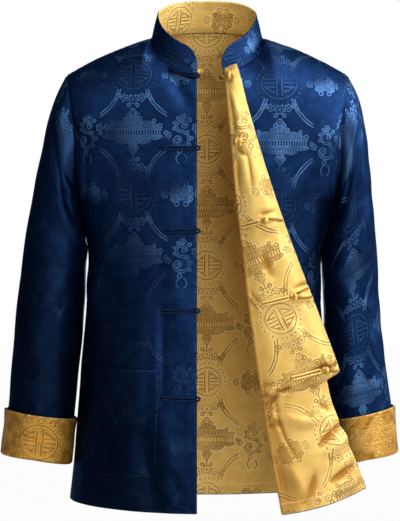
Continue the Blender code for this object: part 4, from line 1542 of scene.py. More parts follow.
@dataclass(frozen=True)
class BrocadeFinish:
    """A brocade: its satin ground, lit and in depth, the woven figure, the shade beside it,
    and its gloss."""

    name: str
    ground: Colour
    deep: Colour
    figure: Colour
    figure_away: Colour
    shade: Colour
    thread: Colour
    rub_and_edge_highlight: Colour
    painted_shade: Colour
    mottled: float
    figured: float
    shaded: float
    roughness: float
    figure_roughness: float
    metallic: float
    relief: float
    specular: float = 0.25
    glance: Colour = (1.0, 1.0, 1.0)
    # painted shade towards the hem and the wearer's right, where a finish has it
    sinking: Sinking | None = None

    def material(self, effects: Effects) -> Material:
        """The finish as a material that reads the piece's cloth map, its hem attribute and the
        attribute that holds its painted shade."""
        dye = Dye(self.name)
        cloth, place = dye.cloth_map(), dye.object_place()
        figure = dye.placed(effects.figure, Cloth=cloth)
        weave = dye.placed(effects.weave, Cloth=cloth)
        edge = dye.placed(effects.edge, Hem=dye.attribute("hem").socket, Cloth=cloth)
        line, fleck = figure["Line"], weave["Fleck"]
        # painted shade: towards the hem and the wearer's right the figure fades
        if self.sinking:
            x, _, z = apart(dye.tree, place)
            depth = x * self.sinking.lean + z
            lost = depth.step(*self.sinking.figure_span) * self.sinking.figure_loss
            line = line * (1.0 - lost)
        patches = CAST.on(dye.tree, place) * CAST_SHARE
        patches = patches + MOTTLE.on(dye.tree, cloth) * self.mottled
        colour = dye.mix(patches, dye.plain(self.ground), self.deep)
        colour = dye.mix(fleck.step(*FLECK_SPAN) * FLECK_SHARE, colour, self.figure)
        # painted relief light beside the woven lines: darker on the navy, a pale painted highlight
        # on the gold
        colour = dye.mix(figure["Shade"] * self.shaded, colour, self.shade)
        # painted sheen: in patches the figure takes its lit colour, elsewhere its colour turned
        # away from the light
        woven = dye.mix(figure["Turn"], dye.plain(self.figure_away), self.figure)
        colour = dye.mix(line * self.figured, colour, woven)
        # painted shade in the creases and beside the flap's fold
        colour = dye.mix(dye.attribute("painted_shade") * PAINTED_SHADE_SHARE, colour, self.painted_shade)
        # painted shade on the hem's press line (a painted highlight on the gold, whose shade
        # colour is pale), then wear with a painted highlight on the very edge
        colour = dye.mix(edge["Press"] * PRESS_SHADE_SHARE, colour, self.shade)
        colour = dye.mix(edge["Rub"] * RUB_AND_HIGHLIGHT_SHARE, colour, self.rub_and_edge_highlight)
        colour = dye.mix(edge["Stitch"], colour, self.thread)
        # painted shade: the cloth darkens towards the hem and the wearer's right
        if self.sinking:
            share = depth.step(*self.sinking.cloth_span) * self.sinking.cloth_share
            sunk = tuple(self.sinking.darkness * part for part in self.deep)
            colour = dye.mix(share, colour, sunk)
        gloss = line * (self.figure_roughness - self.roughness) + fleck * FLECK_GLOSS
        gloss = gloss + (self.roughness - FLECK_GLOSS / 2)
        dye.finish(colour, gloss, {
            "Metallic": self.metallic,
            "Specular IOR Level": self.specular,
            "Specular Tint": self.glance,
        })
        height = weave["Height"] * WEAVE_RELIEF + line + edge["Stitch"] * STITCH_RELIEF
        dye.bump(height, self.relief)
        return dye.material


@dataclass(frozen=True)
class CordFinish:
    """A cord rolled from a bias strip of satin: its crown, its sides in painted shade, and its
    gloss.
    """

    name: str
    crown: Colour
    painted_side_shade: Colour
    metallic: float = 0.5
    radius: float = 0.0016
    roughness: float = 0.40
    thread_pitch: float = 0.0006
    thread_slant: float = 0.6
    thread_relief: float = 0.12
    drag_grain: Place = (420.0, 260.0, 1.0)
    drag_gloss: float = 0.16
    crown_span: Span = (0.42, 0.98)
    drag_span: Span = (0.30, 0.60)
    specular: float = 0.2
    relief: float = 0.0005

    def material(self) -> Material:
        """The finish as a material that reads the cord's own map: painted shade darkens the sides
        by the cosine of the turn round it, and slanting drag lines of the bias strip run over it."""
        dye = Dye(self.name)
        flat = dye.cloth_map()
        around, along, _ = apart(dye.tree, flat)
        drags = noise(dye.tree, scaled(dye.tree, flat, self.drag_grain), 1.0, 2.0)
        slant = (along * self.thread_slant - around) * (TAU / self.thread_pitch)
        threads = slant.math("SINE") * 0.5 + 0.5
        # painted light: the crown that faces out from the cloth is lit, the sides towards the
        # cloth shaded
        crown = (around * (1 / self.radius) - np.pi / 2).math("COSINE") * 0.5 + 0.5
        light = crown.step(*self.crown_span) * (drags.step(*self.drag_span) * 0.5 + 0.5)
        colour = dye.mix(light, dye.plain(self.painted_side_shade), self.crown)
        gloss = drags * self.drag_gloss + (self.roughness - self.drag_gloss / 2)
        dye.finish(colour, gloss, {"Metallic": self.metallic, "Specular IOR Level": self.specular})
        dye.bump(drags + threads * self.thread_relief, self.relief)
        return dye.material


@dataclass(frozen=True)
class StageFinish:
    """A plain pale matt floor."""

    name: str = "pale_floor"
    colour: Colour = (0.62, 0.62, 0.62)
    mottled: Colour = (0.55, 0.55, 0.55)
    roughness: float = 0.75
    glow: float = 0.98

    def material(self) -> Material:
        """The floor's material: evenly white to look at, and a barely mottled matt surface for
        the light that falls on it."""
        dye = Dye(self.name)
        tree = dye.tree
        mottle = noise(tree, dye.object_place(), 3.0, 2.0) * 0.1
        colour = dye.mix(mottle, dye.plain(self.colour), self.mottled)
        dye.finish(colour, mottle + self.roughness, {"Specular IOR Level": 0.1})
        white = tree.nodes.new("ShaderNodeEmission")
        white.inputs["Strength"].default_value = self.glow
        seen = tree.nodes.new("ShaderNodeLightPath").outputs["Is Camera Ray"]
        both = tree.nodes.new("ShaderNodeMixShader")
        out = tree.nodes["Material Output"].inputs["Surface"]
        for source, target in (
            (seen, both.inputs[0]),
            (dye.shader.outputs[0], both.inputs[1]),
            (white.outputs[0], both.inputs[2]),
            (both.outputs[0], out),
        ):
            tree.links.new(source, target)
        return dye.material


NAVY = BrocadeFinish(
    name="navy_brocade_cloth",
    ground=(0.0054, 0.0230, 0.0830),
    deep=(0.0022, 0.0100, 0.0410),
    figure=(0.0680, 0.1550, 0.3300),
    figure_away=(0.0020, 0.0085, 0.0360),
    shade=(0.0022, 0.0085, 0.0350),
    thread=(0.0055, 0.0200, 0.0700),
    rub_and_edge_highlight=(0.0380, 0.1000, 0.2600),
    painted_shade=(0.0012, 0.0050, 0.0200),
    mottled=0.45,
    figured=0.80,
    shaded=0.60,
    metallic=0.88,
    roughness=0.50,
    figure_roughness=0.42,
    relief=0.00016,
    glance=(0.44, 0.62, 1.00),
    # painted shade towards the hem and the wearer's right
    sinking=Sinking(
        lean=1.3,
        figure_span=(-0.36, -0.52),
        figure_loss=0.75,
        cloth_span=(-0.48, -0.86),
        cloth_share=0.78,
        darkness=0.2,
    ),
)
GOLD = BrocadeFinish(
    name="gold_brocade_cloth",
    ground=(0.7900, 0.5500, 0.1650),
    deep=(0.6800, 0.3800, 0.0620),
    figure=(0.2700, 0.1150, 0.0080),
    figure_away=(0.3400, 0.1600, 0.0130),
    # pale: a painted highlight beside the woven lines and on the hem's press line
    shade=(1.0000, 0.8000, 0.3400),
    thread=(0.7900, 0.5300, 0.1500),
    rub_and_edge_highlight=(0.9600, 0.7600, 0.3600),
    painted_shade=(0.3800, 0.1500, 0.0080),
    mottled=0.30,
    figured=0.84,
    shaded=0.55,
    metallic=0.35,
    roughness=0.50,
    figure_roughness=0.50,
    relief=0.00055,
)
# the gold brocade again for the cuffs, darker and browner: painted shade
SHADED_CUFF_CLOTH = BrocadeFinish(
    name="gold_brocade_cloth_in_painted_shade",
    ground=(0.5400, 0.2620, 0.0380),
    deep=(0.2300, 0.0950, 0.0090),
    figure=(0.6800, 0.3900, 0.0850),
    figure_away=(0.1900, 0.0780, 0.0070),
    shade=(0.7000, 0.4000, 0.0900),
    thread=(0.5200, 0.2800, 0.0500),
    rub_and_edge_highlight=(0.8600, 0.6000, 0.2200),
    painted_shade=(0.1700, 0.0720, 0.0070),
    mottled=0.55,
    figured=0.85,
    shaded=0.60,
    metallic=0.60,
    roughness=0.36,
    figure_roughness=0.42,
    relief=0.00055,
)
NAVY_CORD = CordFinish(
    name="navy_satin_cord",
    crown=(0.0080, 0.0220, 0.0700),
    painted_side_shade=(0.0006, 0.0016, 0.0070),
    metallic=0.92,
)
GOLD_CORD = CordFinish(
    name="gold_satin_cord",
    crown=(0.8600, 0.6000, 0.2000),
    painted_side_shade=(0.4000, 0.2000, 0.0260),
)
BROWN_CORD = CordFinish(
    name="brown_satin_cord",
    crown=(0.3900, 0.1850, 0.0260),
    painted_side_shade=(0.1200, 0.0500, 0.0070),
)
REVERSE_MEDALLION = 0.76  # the gold side's medallions, smaller than the navy side's


@dataclass(frozen=True)
class Cloths:
    """Every finish of the jacket as a made material."""

    navy: Material
    gold: Material
    # the cuffs' gold brocade, darkened as painted shade
    cuff: Material
    navy_cord: Material
    gold_cord: Material
    brown_cord: Material

    @classmethod
    def woven(cls) -> "Cloths":
        """Builds the shared effects and then the materials."""
        effects = Effects(BrocadeRepeat().group(), SatinWeave().group(), EdgeWork().group())
        smaller = BrocadeRepeat(medallion_size=REVERSE_MEDALLION)
        reverse = replace(effects, figure=smaller.group())
        return cls(
            NAVY.material(effects), GOLD.material(reverse), SHADED_CUFF_CLOTH.material(effects),
            NAVY_CORD.material(), GOLD_CORD.material(), BROWN_CORD.material(),
        )


def fit(obj: Piece, slot: str, *nodes: str) -> Piece:
    """Puts a piece on the jacket's one body, in place of its nodes, and reports it."""
    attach(obj, "root")
    if nodes:
        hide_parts(*nodes)
    log.info("%s: %d faces", obj.name, len(obj.data.polygons))
    return obj


# ---------------------------------------------------------------- the body
def laid_flat(place: Array, t: Array, side: int, centre: int, origin: Flat) -> Array:
    """A panel's flat coordinates.  Up to the chest, the first is the level distance round the
    body and the second the height.  Above it, the first is read by x from the chest's own row,
    and the second grows by the length over the shoulder in depth and height.

    Args:
        place: The panel's points.
        t: Height up the panel, for each row.
        side: The sign of X away from the centre column.
        centre: The column that the distance is measured from.
        origin: The flat place that becomes 0, 0.

    Returns:
        The flat coordinates, in metres.
    """
    round_body = run_along(place, 1, (0, 1))
    u = place[:, [centre], 0] + side * (round_body - round_body[:, [centre]])
    chest = int(np.searchsorted(t, CUT.chest_t, side="right")) - 1
    order = np.argsort(place[chest, :, 0])
    known_x, known_u = place[chest, order, 0], u[chest, order]
    above = place[chest:, :, 0]
    held = np.clip(above, known_x[0], known_x[-1])
    u[chest:] = np.interp(held, known_x, known_u) + above - held
    v = place[..., 2].copy()
    v[chest:] = v[chest] + run_along(place[chest:], 0, (1, 2))
    return np.stack([u - origin[0], v - origin[1]], axis=-1)


@dataclass(frozen=True)
class SeamWork:
    """How cloth lies beside a sewn seam: it dips into it, and puckers along it."""

    dip: float = 0.0011
    dip_width: float = 0.0034
    pucker: float = 0.00045
    pucker_width: float = 0.012
    pitch: float = 0.0125
    unevenness: float = 2.4

    def lift(self, from_seam: Array, cloth: Array, seed: float) -> Array:
        """The lift beside the seam: a Gaussian dip, and an uneven sine that dies away from it."""
        stray = self.unevenness * ripple(cloth[..., 0], cloth[..., 1], seed)
        wave = np.sin(TAU * cloth.sum(axis=-1) / self.pitch + stray)
        pucker = self.pucker * wave * bell(from_seam, self.pucker_width)
        return pucker - self.dip * bell(from_seam, self.dip_width)


SEAM = SeamWork()
HEM = (0.018, 0.014)  # where a turned hem starts and where it is full, from the edge
HEM_EXTRA = 0.0007  # how much thicker the cloth is there
WAVE, WAVE_FADE = 0.0007, 0.02  # a panel's low waves, and how far from a seam they are full
RIGHT_SEED, LEFT_SEED, BACK_SEED, FLAP_SEED = 0.4, 2.9, 1.7, 3.3  # one for each piece's waves


def hemmed(from_edge: Array) -> Array:
    """The wall at each point: the cloth's, and a little more where the hem is turned in."""
    return CUT.cloth + HEM_EXTRA * smoothstep(*HEM, from_edge)


RIGHT_FRONT_CREASES = (
    Crease((-0.066, -0.040), (-0.016, -0.140), 0.012, -0.0042),
    Crease((-0.048, -0.052), (-0.022, -0.106), 0.006, 0.0018),
    Crease((-0.074, -0.560), (-0.030, -0.735), 0.016, 0.0042, bow=0.010),
    Crease((-0.112, -0.600), (-0.080, -0.742), 0.015, -0.0036, bow=-0.006),
    Crease((-0.190, -0.300), (-0.120, -0.440), 0.014, -0.0038, bow=0.008),
    Crease((-0.192, -0.330), (-0.140, -0.520), 0.011, 0.0030, bow=0.010),
    Crease((-0.170, -0.215), (-0.105, -0.300), 0.012, 0.0026, bow=-0.006),
    Crease((-0.060, -0.330), (-0.030, -0.520), 0.018, 0.0026),
    Crease((-0.070, -0.415), (-0.068, -0.590), 0.0050, -0.0022, swell=0.7),
    Crease((-0.078, -0.690), (-0.050, -0.735), 0.0090, 0.0036, bow=0.003),
    Crease((-0.060, -0.672), (-0.034, -0.728), 0.0070, -0.0030),
    Crease((-0.064, -0.018), (-0.020, -0.072), 0.0070, -0.0034),
)
LEFT_FRONT_CREASES = (
    Crease((0.196, -0.285), (0.140, -0.400), 0.012, -0.0040, bow=-0.008),
    Crease((0.186, -0.345), (0.150, -0.520), 0.012, 0.0034, bow=-0.008),
    Crease((0.178, -0.200), (0.120, -0.270), 0.012, 0.0026),
    Crease((0.190, -0.560), (0.178, -0.720), 0.012, -0.0030),
)
FLAP_CREASES = (
    Crease((0.074, -0.550), (0.104, -0.542), 0.0040, -0.0044, swell=0.8),
    Crease((0.080, -0.574), (0.106, -0.546), 0.0042, 0.0058),
    Crease((0.088, -0.586), (0.110, -0.556), 0.0040, -0.0044),
    Crease((0.104, -0.555), (0.129, -0.543), 0.0034, -0.0058, bow=0.003),
    Crease((0.104, -0.556), (0.138, -0.660), 0.0032, -0.0051, bow=0.008),
    Crease((0.078, -0.600), (0.116, -0.592), 0.0050, 0.0061),
    Crease((0.082, -0.612), (0.114, -0.604), 0.0050, -0.0044),
    Crease((0.116, -0.592), (0.176, -0.600), 0.0065, 0.0041, bow=0.006),
    Crease((0.168, -0.646), (0.213, -0.604), 0.0058, -0.0095, bow=-0.002),
    Crease((0.182, -0.656), (0.222, -0.622), 0.0056, 0.0068),
    Crease((0.186, -0.700), (0.230, -0.668), 0.0064, -0.0092),
    Crease((0.196, -0.716), (0.238, -0.686), 0.0060, 0.0061),
    Crease((0.166, -0.676), (0.140, -0.735), 0.0075, -0.0068, bow=-0.005),
    Crease((0.126, -0.668), (0.152, -0.724), 0.0090, 0.0061),
    Crease((0.104, -0.640), (0.122, -0.716), 0.0090, -0.0051, bow=0.004),
    Crease((0.176, -0.505), (0.200, -0.528), 0.0036, 0.0051),
    Crease((0.150, -0.528), (0.200, -0.514), 0.0046, -0.0054),
    Crease((0.168, -0.572), (0.190, -0.590), 0.0060, -0.0048),
    Crease((0.056, -0.395), (0.082, -0.420), 0.0034, -0.0044),
    Crease((0.058, -0.404), (0.084, -0.430), 0.0034, 0.0041),
    Crease((0.128, -0.398), (0.158, -0.388), 0.0036, -0.0051),
    Crease((0.130, -0.408), (0.164, -0.412), 0.0036, 0.0044),
    Crease((0.078, -0.284), (0.104, -0.278), 0.0036, -0.0048),
    Crease((0.060, -0.312), (0.112, -0.296), 0.0050, 0.0034),
    Crease((0.046, -0.196), (0.052, -0.262), 0.0050, -0.0041, bow=0.003),
    Crease((0.036, -0.090), (0.050, -0.165), 0.0046, 0.0044, bow=-0.003),
    Crease((0.040, -0.178), (0.062, -0.196), 0.0036, -0.0044),
    Crease((0.086, -0.330), (0.104, -0.384), 0.0080, -0.0041, bow=0.004),
    Crease((0.116, -0.440), (0.150, -0.500), 0.0090, 0.0044, bow=-0.005),
    Crease((0.0590, -0.182), (0.0690, -0.250), 0.0028, -0.0038, bow=-0.002),
    Crease((0.0520, -0.190), (0.0595, -0.244), 0.0060, 0.0028),
)
BACK_CREASES = (
    Crease((-0.180, -0.230), (-0.060, -0.330), 0.016, -0.0036, bow=0.010, face=Face.BACK),
    Crease((0.180, -0.230), (0.055, -0.340), 0.016, -0.0036, bow=-0.010, face=Face.BACK),
    Crease((-0.170, -0.300), (-0.080, -0.420), 0.013, 0.0032, face=Face.BACK),
    Crease((0.176, -0.290), (0.090, -0.400), 0.013, 0.0030, face=Face.BACK),
    Crease((-0.080, -0.420), (-0.100, -0.720), 0.020, 0.0042, bow=0.010, face=Face.BACK),
    Crease((0.070, -0.440), (0.092, -0.725), 0.020, 0.0040, bow=-0.012, face=Face.BACK),
    Crease((0.004, -0.300), (-0.006, -0.680), 0.022, -0.0030, face=Face.BACK),
    Crease((-0.150, -0.520), (-0.165, -0.715), 0.013, -0.0030, face=Face.BACK),
    Crease((0.155, -0.520), (0.160, -0.715), 0.013, -0.0030, face=Face.BACK),
    Crease((-0.090, -0.050), (0.090, -0.052), 0.014, 0.0022, bow=0.012, face=Face.BACK),
)


@dataclass(frozen=True)
class FoldShade:
    """Painted shade on the flap's cloth beside its fold: a narrow band all the way up, and a wide
    one towards the hem.  Each width is the span of the distance from the fold that it rises
    over."""

    narrow: float = 0.45
    narrow_width: Span = (0.016, 0.0)
    wide: float = 0.75
    wide_width: Span = (0.085, 0.005)
    wide_height: Span = (-0.42, -0.66)
    most: float = 0.85
    round_fold: Span = (-0.010, -0.004)
    crease_depth: Span = (0.0004, 0.0040)

    def painted_shade(self, place: Array, from_fold: Array, dip: Array) -> Array:
        """How much painted shade each point takes, from 0 to 1: the greater of what its creases
        and its fold give it.

        Args:
            place: The points.
            from_fold: Their distances from the fold.
            dip: How deep they lie in a crease.

        Returns:
            The shares.
        """
        low = smoothstep(*self.wide_height, place[..., 2])
        near = self.narrow * smoothstep(*self.narrow_width, from_fold)
        near = near + self.wide * low * smoothstep(*self.wide_width, from_fold)
        near = np.minimum(near, self.most) * smoothstep(*self.round_fold, from_fold)
        return np.maximum(smoothstep(*self.crease_depth, dip), near)


@dataclass
class Body:
    """The back and the two fronts, the left one with its turned-back flap.

    An origin is the flat place where a panel's woven repeat starts, and the flap's grain is the
    direction, in x and z, that its repeat climbs in.  The last columns of the fold, map_lead of
    them, already read the body's map.  Both blends count columns from the fold's end.
    """

    cloths: Cloths
    rows: int = 150
    flap_rows: int = 250
    step_rows: int = 18
    step_reach: float = 2.2
    across: int = 84
    panel_length: float = 0.75
    flap_columns: int = 70
    fold_steps: int = 9
    map_lead: int = 3
    body_blend: tuple[int, int] = (0, 12)
    flap_blend: tuple[int, int] = (-6, -14)
    roll: float = 0.0058
    roll_width: float = 0.024
    flap_wave: float = 0.0008
    shade: FoldShade = FoldShade()
    right_origin: Flat = (-0.1150, -0.2516)
    left_origin: Flat = (0.1120, -0.0765)
    back_origin: Flat = (0.0, -0.1700)
    flap_origin: Flat = (0.1122, -0.4430)
    flap_grain: Flat = (-0.4300, 0.9028)

    def heights(self, side: Side) -> Array:
        """The panel's rows, closer together at the flap's step."""
        if side is Side.RIGHT:
            return graded(self.rows, self.panel_length)
        rows = graded(self.flap_rows, self.panel_length)
        reach = self.step_reach * CUT.step_half
        rows = rows[np.abs(rows - CUT.step_t) > reach]
        return np.sort(np.append(rows, CUT.step_t + np.linspace(-reach, reach, self.step_rows)))

    def settle(self, sheet: Sheet, seam: Array, seed: float, creases: Sequence[Crease]) -> None:
        """Lays a panel's seam work, creases and low waves into its sheet."""
        sheet.raise_by(SEAM.lift(seam, sheet.cloth, seed))
        sheet.crease(creases)
        wave = ripple(sheet.place[..., 0], sheet.place[..., 2], seed)
        sheet.raise_by(WAVE * wave * smoothstep(0.0, WAVE_FADE, seam))

    def back(self) -> Piece:
        """The back, in one piece from side seam to side seam."""
        half = graded(self.across, length=0.27)
        s, t = np.meshgrid(np.concatenate([-half[:0:-1], half]), self.heights(Side.RIGHT))
        place, normal = CUT.back(s, t)
        cloth = laid_flat(place, t[:, 0], 1, len(half) - 1, self.back_origin)
        level, up = run_along(place, 1), run_along(place, 0)
        side = np.minimum(level, level[:, -1:] - level)
        sheet = Sheet(place, normal, cloth, hem=up)
        self.settle(sheet, np.minimum(side, up[-1:] - up), BACK_SEED, BACK_CREASES)
        obj = shell("jacket_back", sheet, hemmed(up), [self.cloths.navy, self.cloths.gold])
        return fit(obj, Grain.NAVY.value, "back")

    def right_front(self) -> Piece:
        """The right front, hanging straight from its neck to its hem."""
        s, t = np.meshgrid(graded(self.across, length=0.27), self.heights(Side.RIGHT))
        place, normal = CUT.front(Side.RIGHT, s, t)
        cloth = laid_flat(place, t[:, 0], -1, 0, self.right_origin)
        level, up = run_along(place, 1), run_along(place, 0)
        free = np.minimum(level, up)
        seam = np.minimum(level[:, -1:] - level, up[-1:] - up)
        sheet = Sheet(place, normal, cloth, hem=free)
        self.settle(sheet, seam, RIGHT_SEED, RIGHT_FRONT_CREASES)
        obj = shell(
            "jacket_front_right", sheet, hemmed(free), [self.cloths.navy, self.cloths.gold]
        )
        return fit(obj, Grain.NAVY.value, "front_right")

    def left_front(self) -> Piece:
        """The left front: its body part, the round fold, and the flap over it."""
        sheet = self.left_sheet()
        level, up = run_along(sheet.place, 1), run_along(sheet.place, 0)
        sheet.hem = free = np.minimum(level, up)
        sheet.face_out()
        fold = sheet.turned_columns + self.map_lead
        column = np.broadcast_to(np.arange(level.shape[1]), level.shape) - fold
        on_body = smoothstep(*self.body_blend, column)
        off_body = smoothstep(*self.flap_blend, column)
        seam = np.minimum(level[:, -1:] - level, up[-1:] - up)
        wave = self.flap_wave * ripple(sheet.place[..., 0], sheet.place[..., 2], FLAP_SEED)
        sheet.raise_by(SEAM.lift(seam, sheet.cloth, LEFT_SEED) * on_body)
        from_fold = level[:, [fold - self.fold_steps]] - level
        # painted shade in the flap's creases and beside its fold
        dip = -creased(FLAP_CREASES, sheet.place, -sheet.normal) * off_body
        sheet.painted_shade = self.shade.painted_shade(sheet.place, from_fold, dip)
        lift = creased(LEFT_FRONT_CREASES, sheet.place, sheet.normal) * on_body
        lift -= self.flap_lift(sheet.place, -sheet.normal, level, from_fold) * off_body
        sheet.raise_by(lift + wave * on_body)
        obj = shell(
            "jacket_front_left", sheet, hemmed(free), [self.cloths.navy, self.cloths.gold]
        )
        return fit(obj, Grain.NAVY.value, "front_left")

    def left_sheet(self) -> Sheet:
        """The left front before its creases, on one grid from the flap's free edge, round the
        half circle of the fold, to the side seam."""
        rows = self.heights(Side.LEFT)
        s, t = np.meshgrid(graded(self.across, length=0.20), rows)
        body, normal = CUT.front(Side.LEFT, s, t)
        flat = laid_flat(body, rows, 1, 0, self.left_origin)
        share, high = np.meshgrid(graded(self.flap_columns, length=0.12)[::-1], rows)
        flap = CUT.flap(share, high)
        centre = body[:, :1] + normal[:, :1] * CUT.fold_radius
        inward = unit(body[:, :1] - body[:, 1:2])
        bend = np.arange(1, self.fold_steps + 1) / (self.fold_steps + 1) * np.pi
        bend = bend[None, :, None]
        way = normal[:, :1] * np.cos(bend) + inward * np.sin(bend)
        arc = centre + CUT.fold_radius * way
        place = np.concatenate([flap, arc, body], axis=1)
        behind = np.broadcast_to(-normal[:, :1], flap.shape)
        rough = np.concatenate([behind, np.zeros_like(arc), normal], axis=1)
        fold = flap.shape[1] + self.fold_steps
        cloth = np.concatenate([np.repeat(flat[:, :1], fold, axis=1), flat], axis=1)
        level = run_along(place, 1)
        cloth[:, :fold, 0] -= level[:, [fold]] - level[:, :fold]
        turned = self.flap_map(place)
        return Sheet(place, rough, cloth, turned=turned, turned_columns=fold - self.map_lead)

    def flap_lift(self, place: Array, facing: Array, from_edge: Array, from_fold: Array) -> Array:
        """How far the flap swells off the body: a roll that is none at its edge and its fold and
        full between, its creases, and low waves.

        Args:
            place: Points on the flap.
            facing: Their directions off the body.
            from_edge: Their distances from the free edge.
            from_fold: Their distances from the fold.

        Returns:
            The lift along the facing direction.
        """
        width = self.roll_width
        roll = self.roll * smoothstep(0.0, width, from_edge) * smoothstep(0.0, width, from_fold)
        wave = self.flap_wave * ripple(place[..., 0], place[..., 2], FLAP_SEED)
        return roll + creased(FLAP_CREASES, place, facing) - wave

    def flap_map(self, place: Array) -> Array:
        """The flap's flat coordinates: the distance across and along its free edge's line."""
        grain = unit(np.array(self.flap_grain))
        dx, dz = place[..., 0] - self.flap_origin[0], place[..., 2] - self.flap_origin[1]
        across = dx * grain[1] - dz * grain[0]
        return np.stack([across, dx * grain[0] + dz * grain[1]], axis=-1)


# ---------------------------------------------------------------- sleeves and cuffs
class CuffPlace(NamedTuple):
    """One place on the cuff's section: past the sleeve's end, and off its surface."""

    share: float
    below: float
    outward: float


class Fullness(NamedTuple):
    """How far the sleeve stands out under the arm at one height."""

    z: float
    lift: float


CUFF_DEPTH = 0.067
CUFF = (
    CuffPlace(0.00, 0.0020, -0.0010),
    CuffPlace(0.05, 0.0024, 0.0012),
    CuffPlace(0.10, 0.0006, 0.0032),
    CuffPlace(0.20, -0.0060, 0.0036),
    CuffPlace(0.45, -0.0280, 0.0038),
    CuffPlace(0.75, -0.0500, 0.0042),
    CuffPlace(1.00, -CUFF_DEPTH, 0.0052),
)
UNDER_ARM = {
    Side.RIGHT: (
        Fullness(-0.495, 0.0), Fullness(-0.470, 0.0008), Fullness(-0.446, 0.0018),
        Fullness(-0.415, 0.0028), Fullness(-0.384, 0.0034), Fullness(-0.369, 0.0044),
        Fullness(-0.353, 0.0054), Fullness(-0.338, 0.0062), Fullness(-0.307, 0.0058),
        Fullness(-0.276, 0.0036), Fullness(-0.245, 0.0),
    ),
    Side.LEFT: (
        Fullness(-0.520, 0.0), Fullness(-0.430, 0.0006), Fullness(-0.415, 0.0020),
        Fullness(-0.399, 0.0037), Fullness(-0.384, 0.0058), Fullness(-0.369, 0.0082),
        Fullness(-0.353, 0.0114), Fullness(-0.338, 0.0122), Fullness(-0.322, 0.0108),
        Fullness(-0.307, 0.0088), Fullness(-0.276, 0.0048), Fullness(-0.245, 0.0),
    ),
}


@dataclass
class Sleeves:
    """Both sleeves, with the fullness under each arm that lies against the body.

    A turn is a share of the way round, from the outer side over the front.  The cut's seam is
    at start_turn, the woven repeat's middle at grain_turn and, down the sleeve, at grain_drop,
    and cut_width is how wide the repeat's map is once round.
    """

    cloths: Cloths
    rows: int = 132
    sides: int = 108
    length: float = 0.60
    tuck: float = 0.0022
    start_turn: float = 0.5
    grain_turn: float = 0.75
    cut_width: float = 0.42
    grain_drop: float = 0.07
    fullness_width: float = 1 / 1.3
    seam_seed: float = 4.1
    wave: float = 0.0010
    wave_seed: float = 5.2
    head_fade: float = 0.03
    wrist_fade: float = 0.06

    def head(self, side: Side, turns: Array) -> Array:
        """The sleeve's first ring: the armhole, drawn in a little towards the body."""
        hole = np.where(np.sin(TAU * turns) > 0, CUT.armhole_front, CUT.armhole_back)
        ring = CUT.armhole(np.cos(TAU * turns), 0.0)
        ring[:, 1] -= hole * np.sin(TAU * turns)
        ring[:, 0] = side.value * (ring[:, 0] - self.tuck)
        return ring

    def make(self, side: Side) -> Piece:
        """One sleeve, open at the armhole and inside its cuff."""
        turns = (np.arange(self.sides) / self.sides + self.start_turn) % 1.0
        place, normal = CUT.sleeve(side, *np.meshgrid(turns, graded(self.rows, self.length)))
        place = np.concatenate([self.head(side, turns)[None], place])
        normal = np.concatenate([normal[:1], normal])
        girth = run_along(np.concatenate([place, place[:, :1]], axis=1), 1)
        u = (girth / girth[:, -1:] - self.grain_turn) * self.cut_width
        from_seam = run_along(place, 0)
        down = np.mean(from_seam, axis=1, keepdims=True)
        drop = np.broadcast_to(-self.grain_drop - down, u.shape)
        cloth = np.stack([side.value * u, drop], axis=-1)
        sheet = Sheet(place, normal, cloth, wraps=True)
        seed = self.seam_seed + side.value
        sheet.raise_by(SEAM.lift(from_seam, cloth[:, :-1], seed) * (from_seam > 0))
        outer = 1 - np.clip(-np.cos(TAU * turns), 0, 1)
        full = np.interp(place[..., 2], *columns(UNDER_ARM[side], "z", "lift").T)
        sheet.raise_by(full * bell(outer, self.fullness_width))
        sheet.crease(SLEEVE_CREASES[side])
        waves = ripple(place[..., 0], place[..., 2], self.wave_seed + side.value)
        fade = smoothstep(0, self.head_fade, from_seam)
        fade = fade * smoothstep(0, self.wrist_fade, from_seam[-1:] - from_seam)
        sheet.raise_by(self.wave * waves * fade)
        name = f"jacket_sleeve_{side.hand}"
        obj = shell(name, sheet, CUT.cloth, [self.cloths.navy, self.cloths.gold])
        return fit(obj, Grain.NAVY.value, f"sleeve_{side.hand}")


class CuffMap(NamedTuple):
    """Where a cuff's flat map starts: a turn, and the place of the woven repeat's middle."""

    start: float
    across: float
    up: float


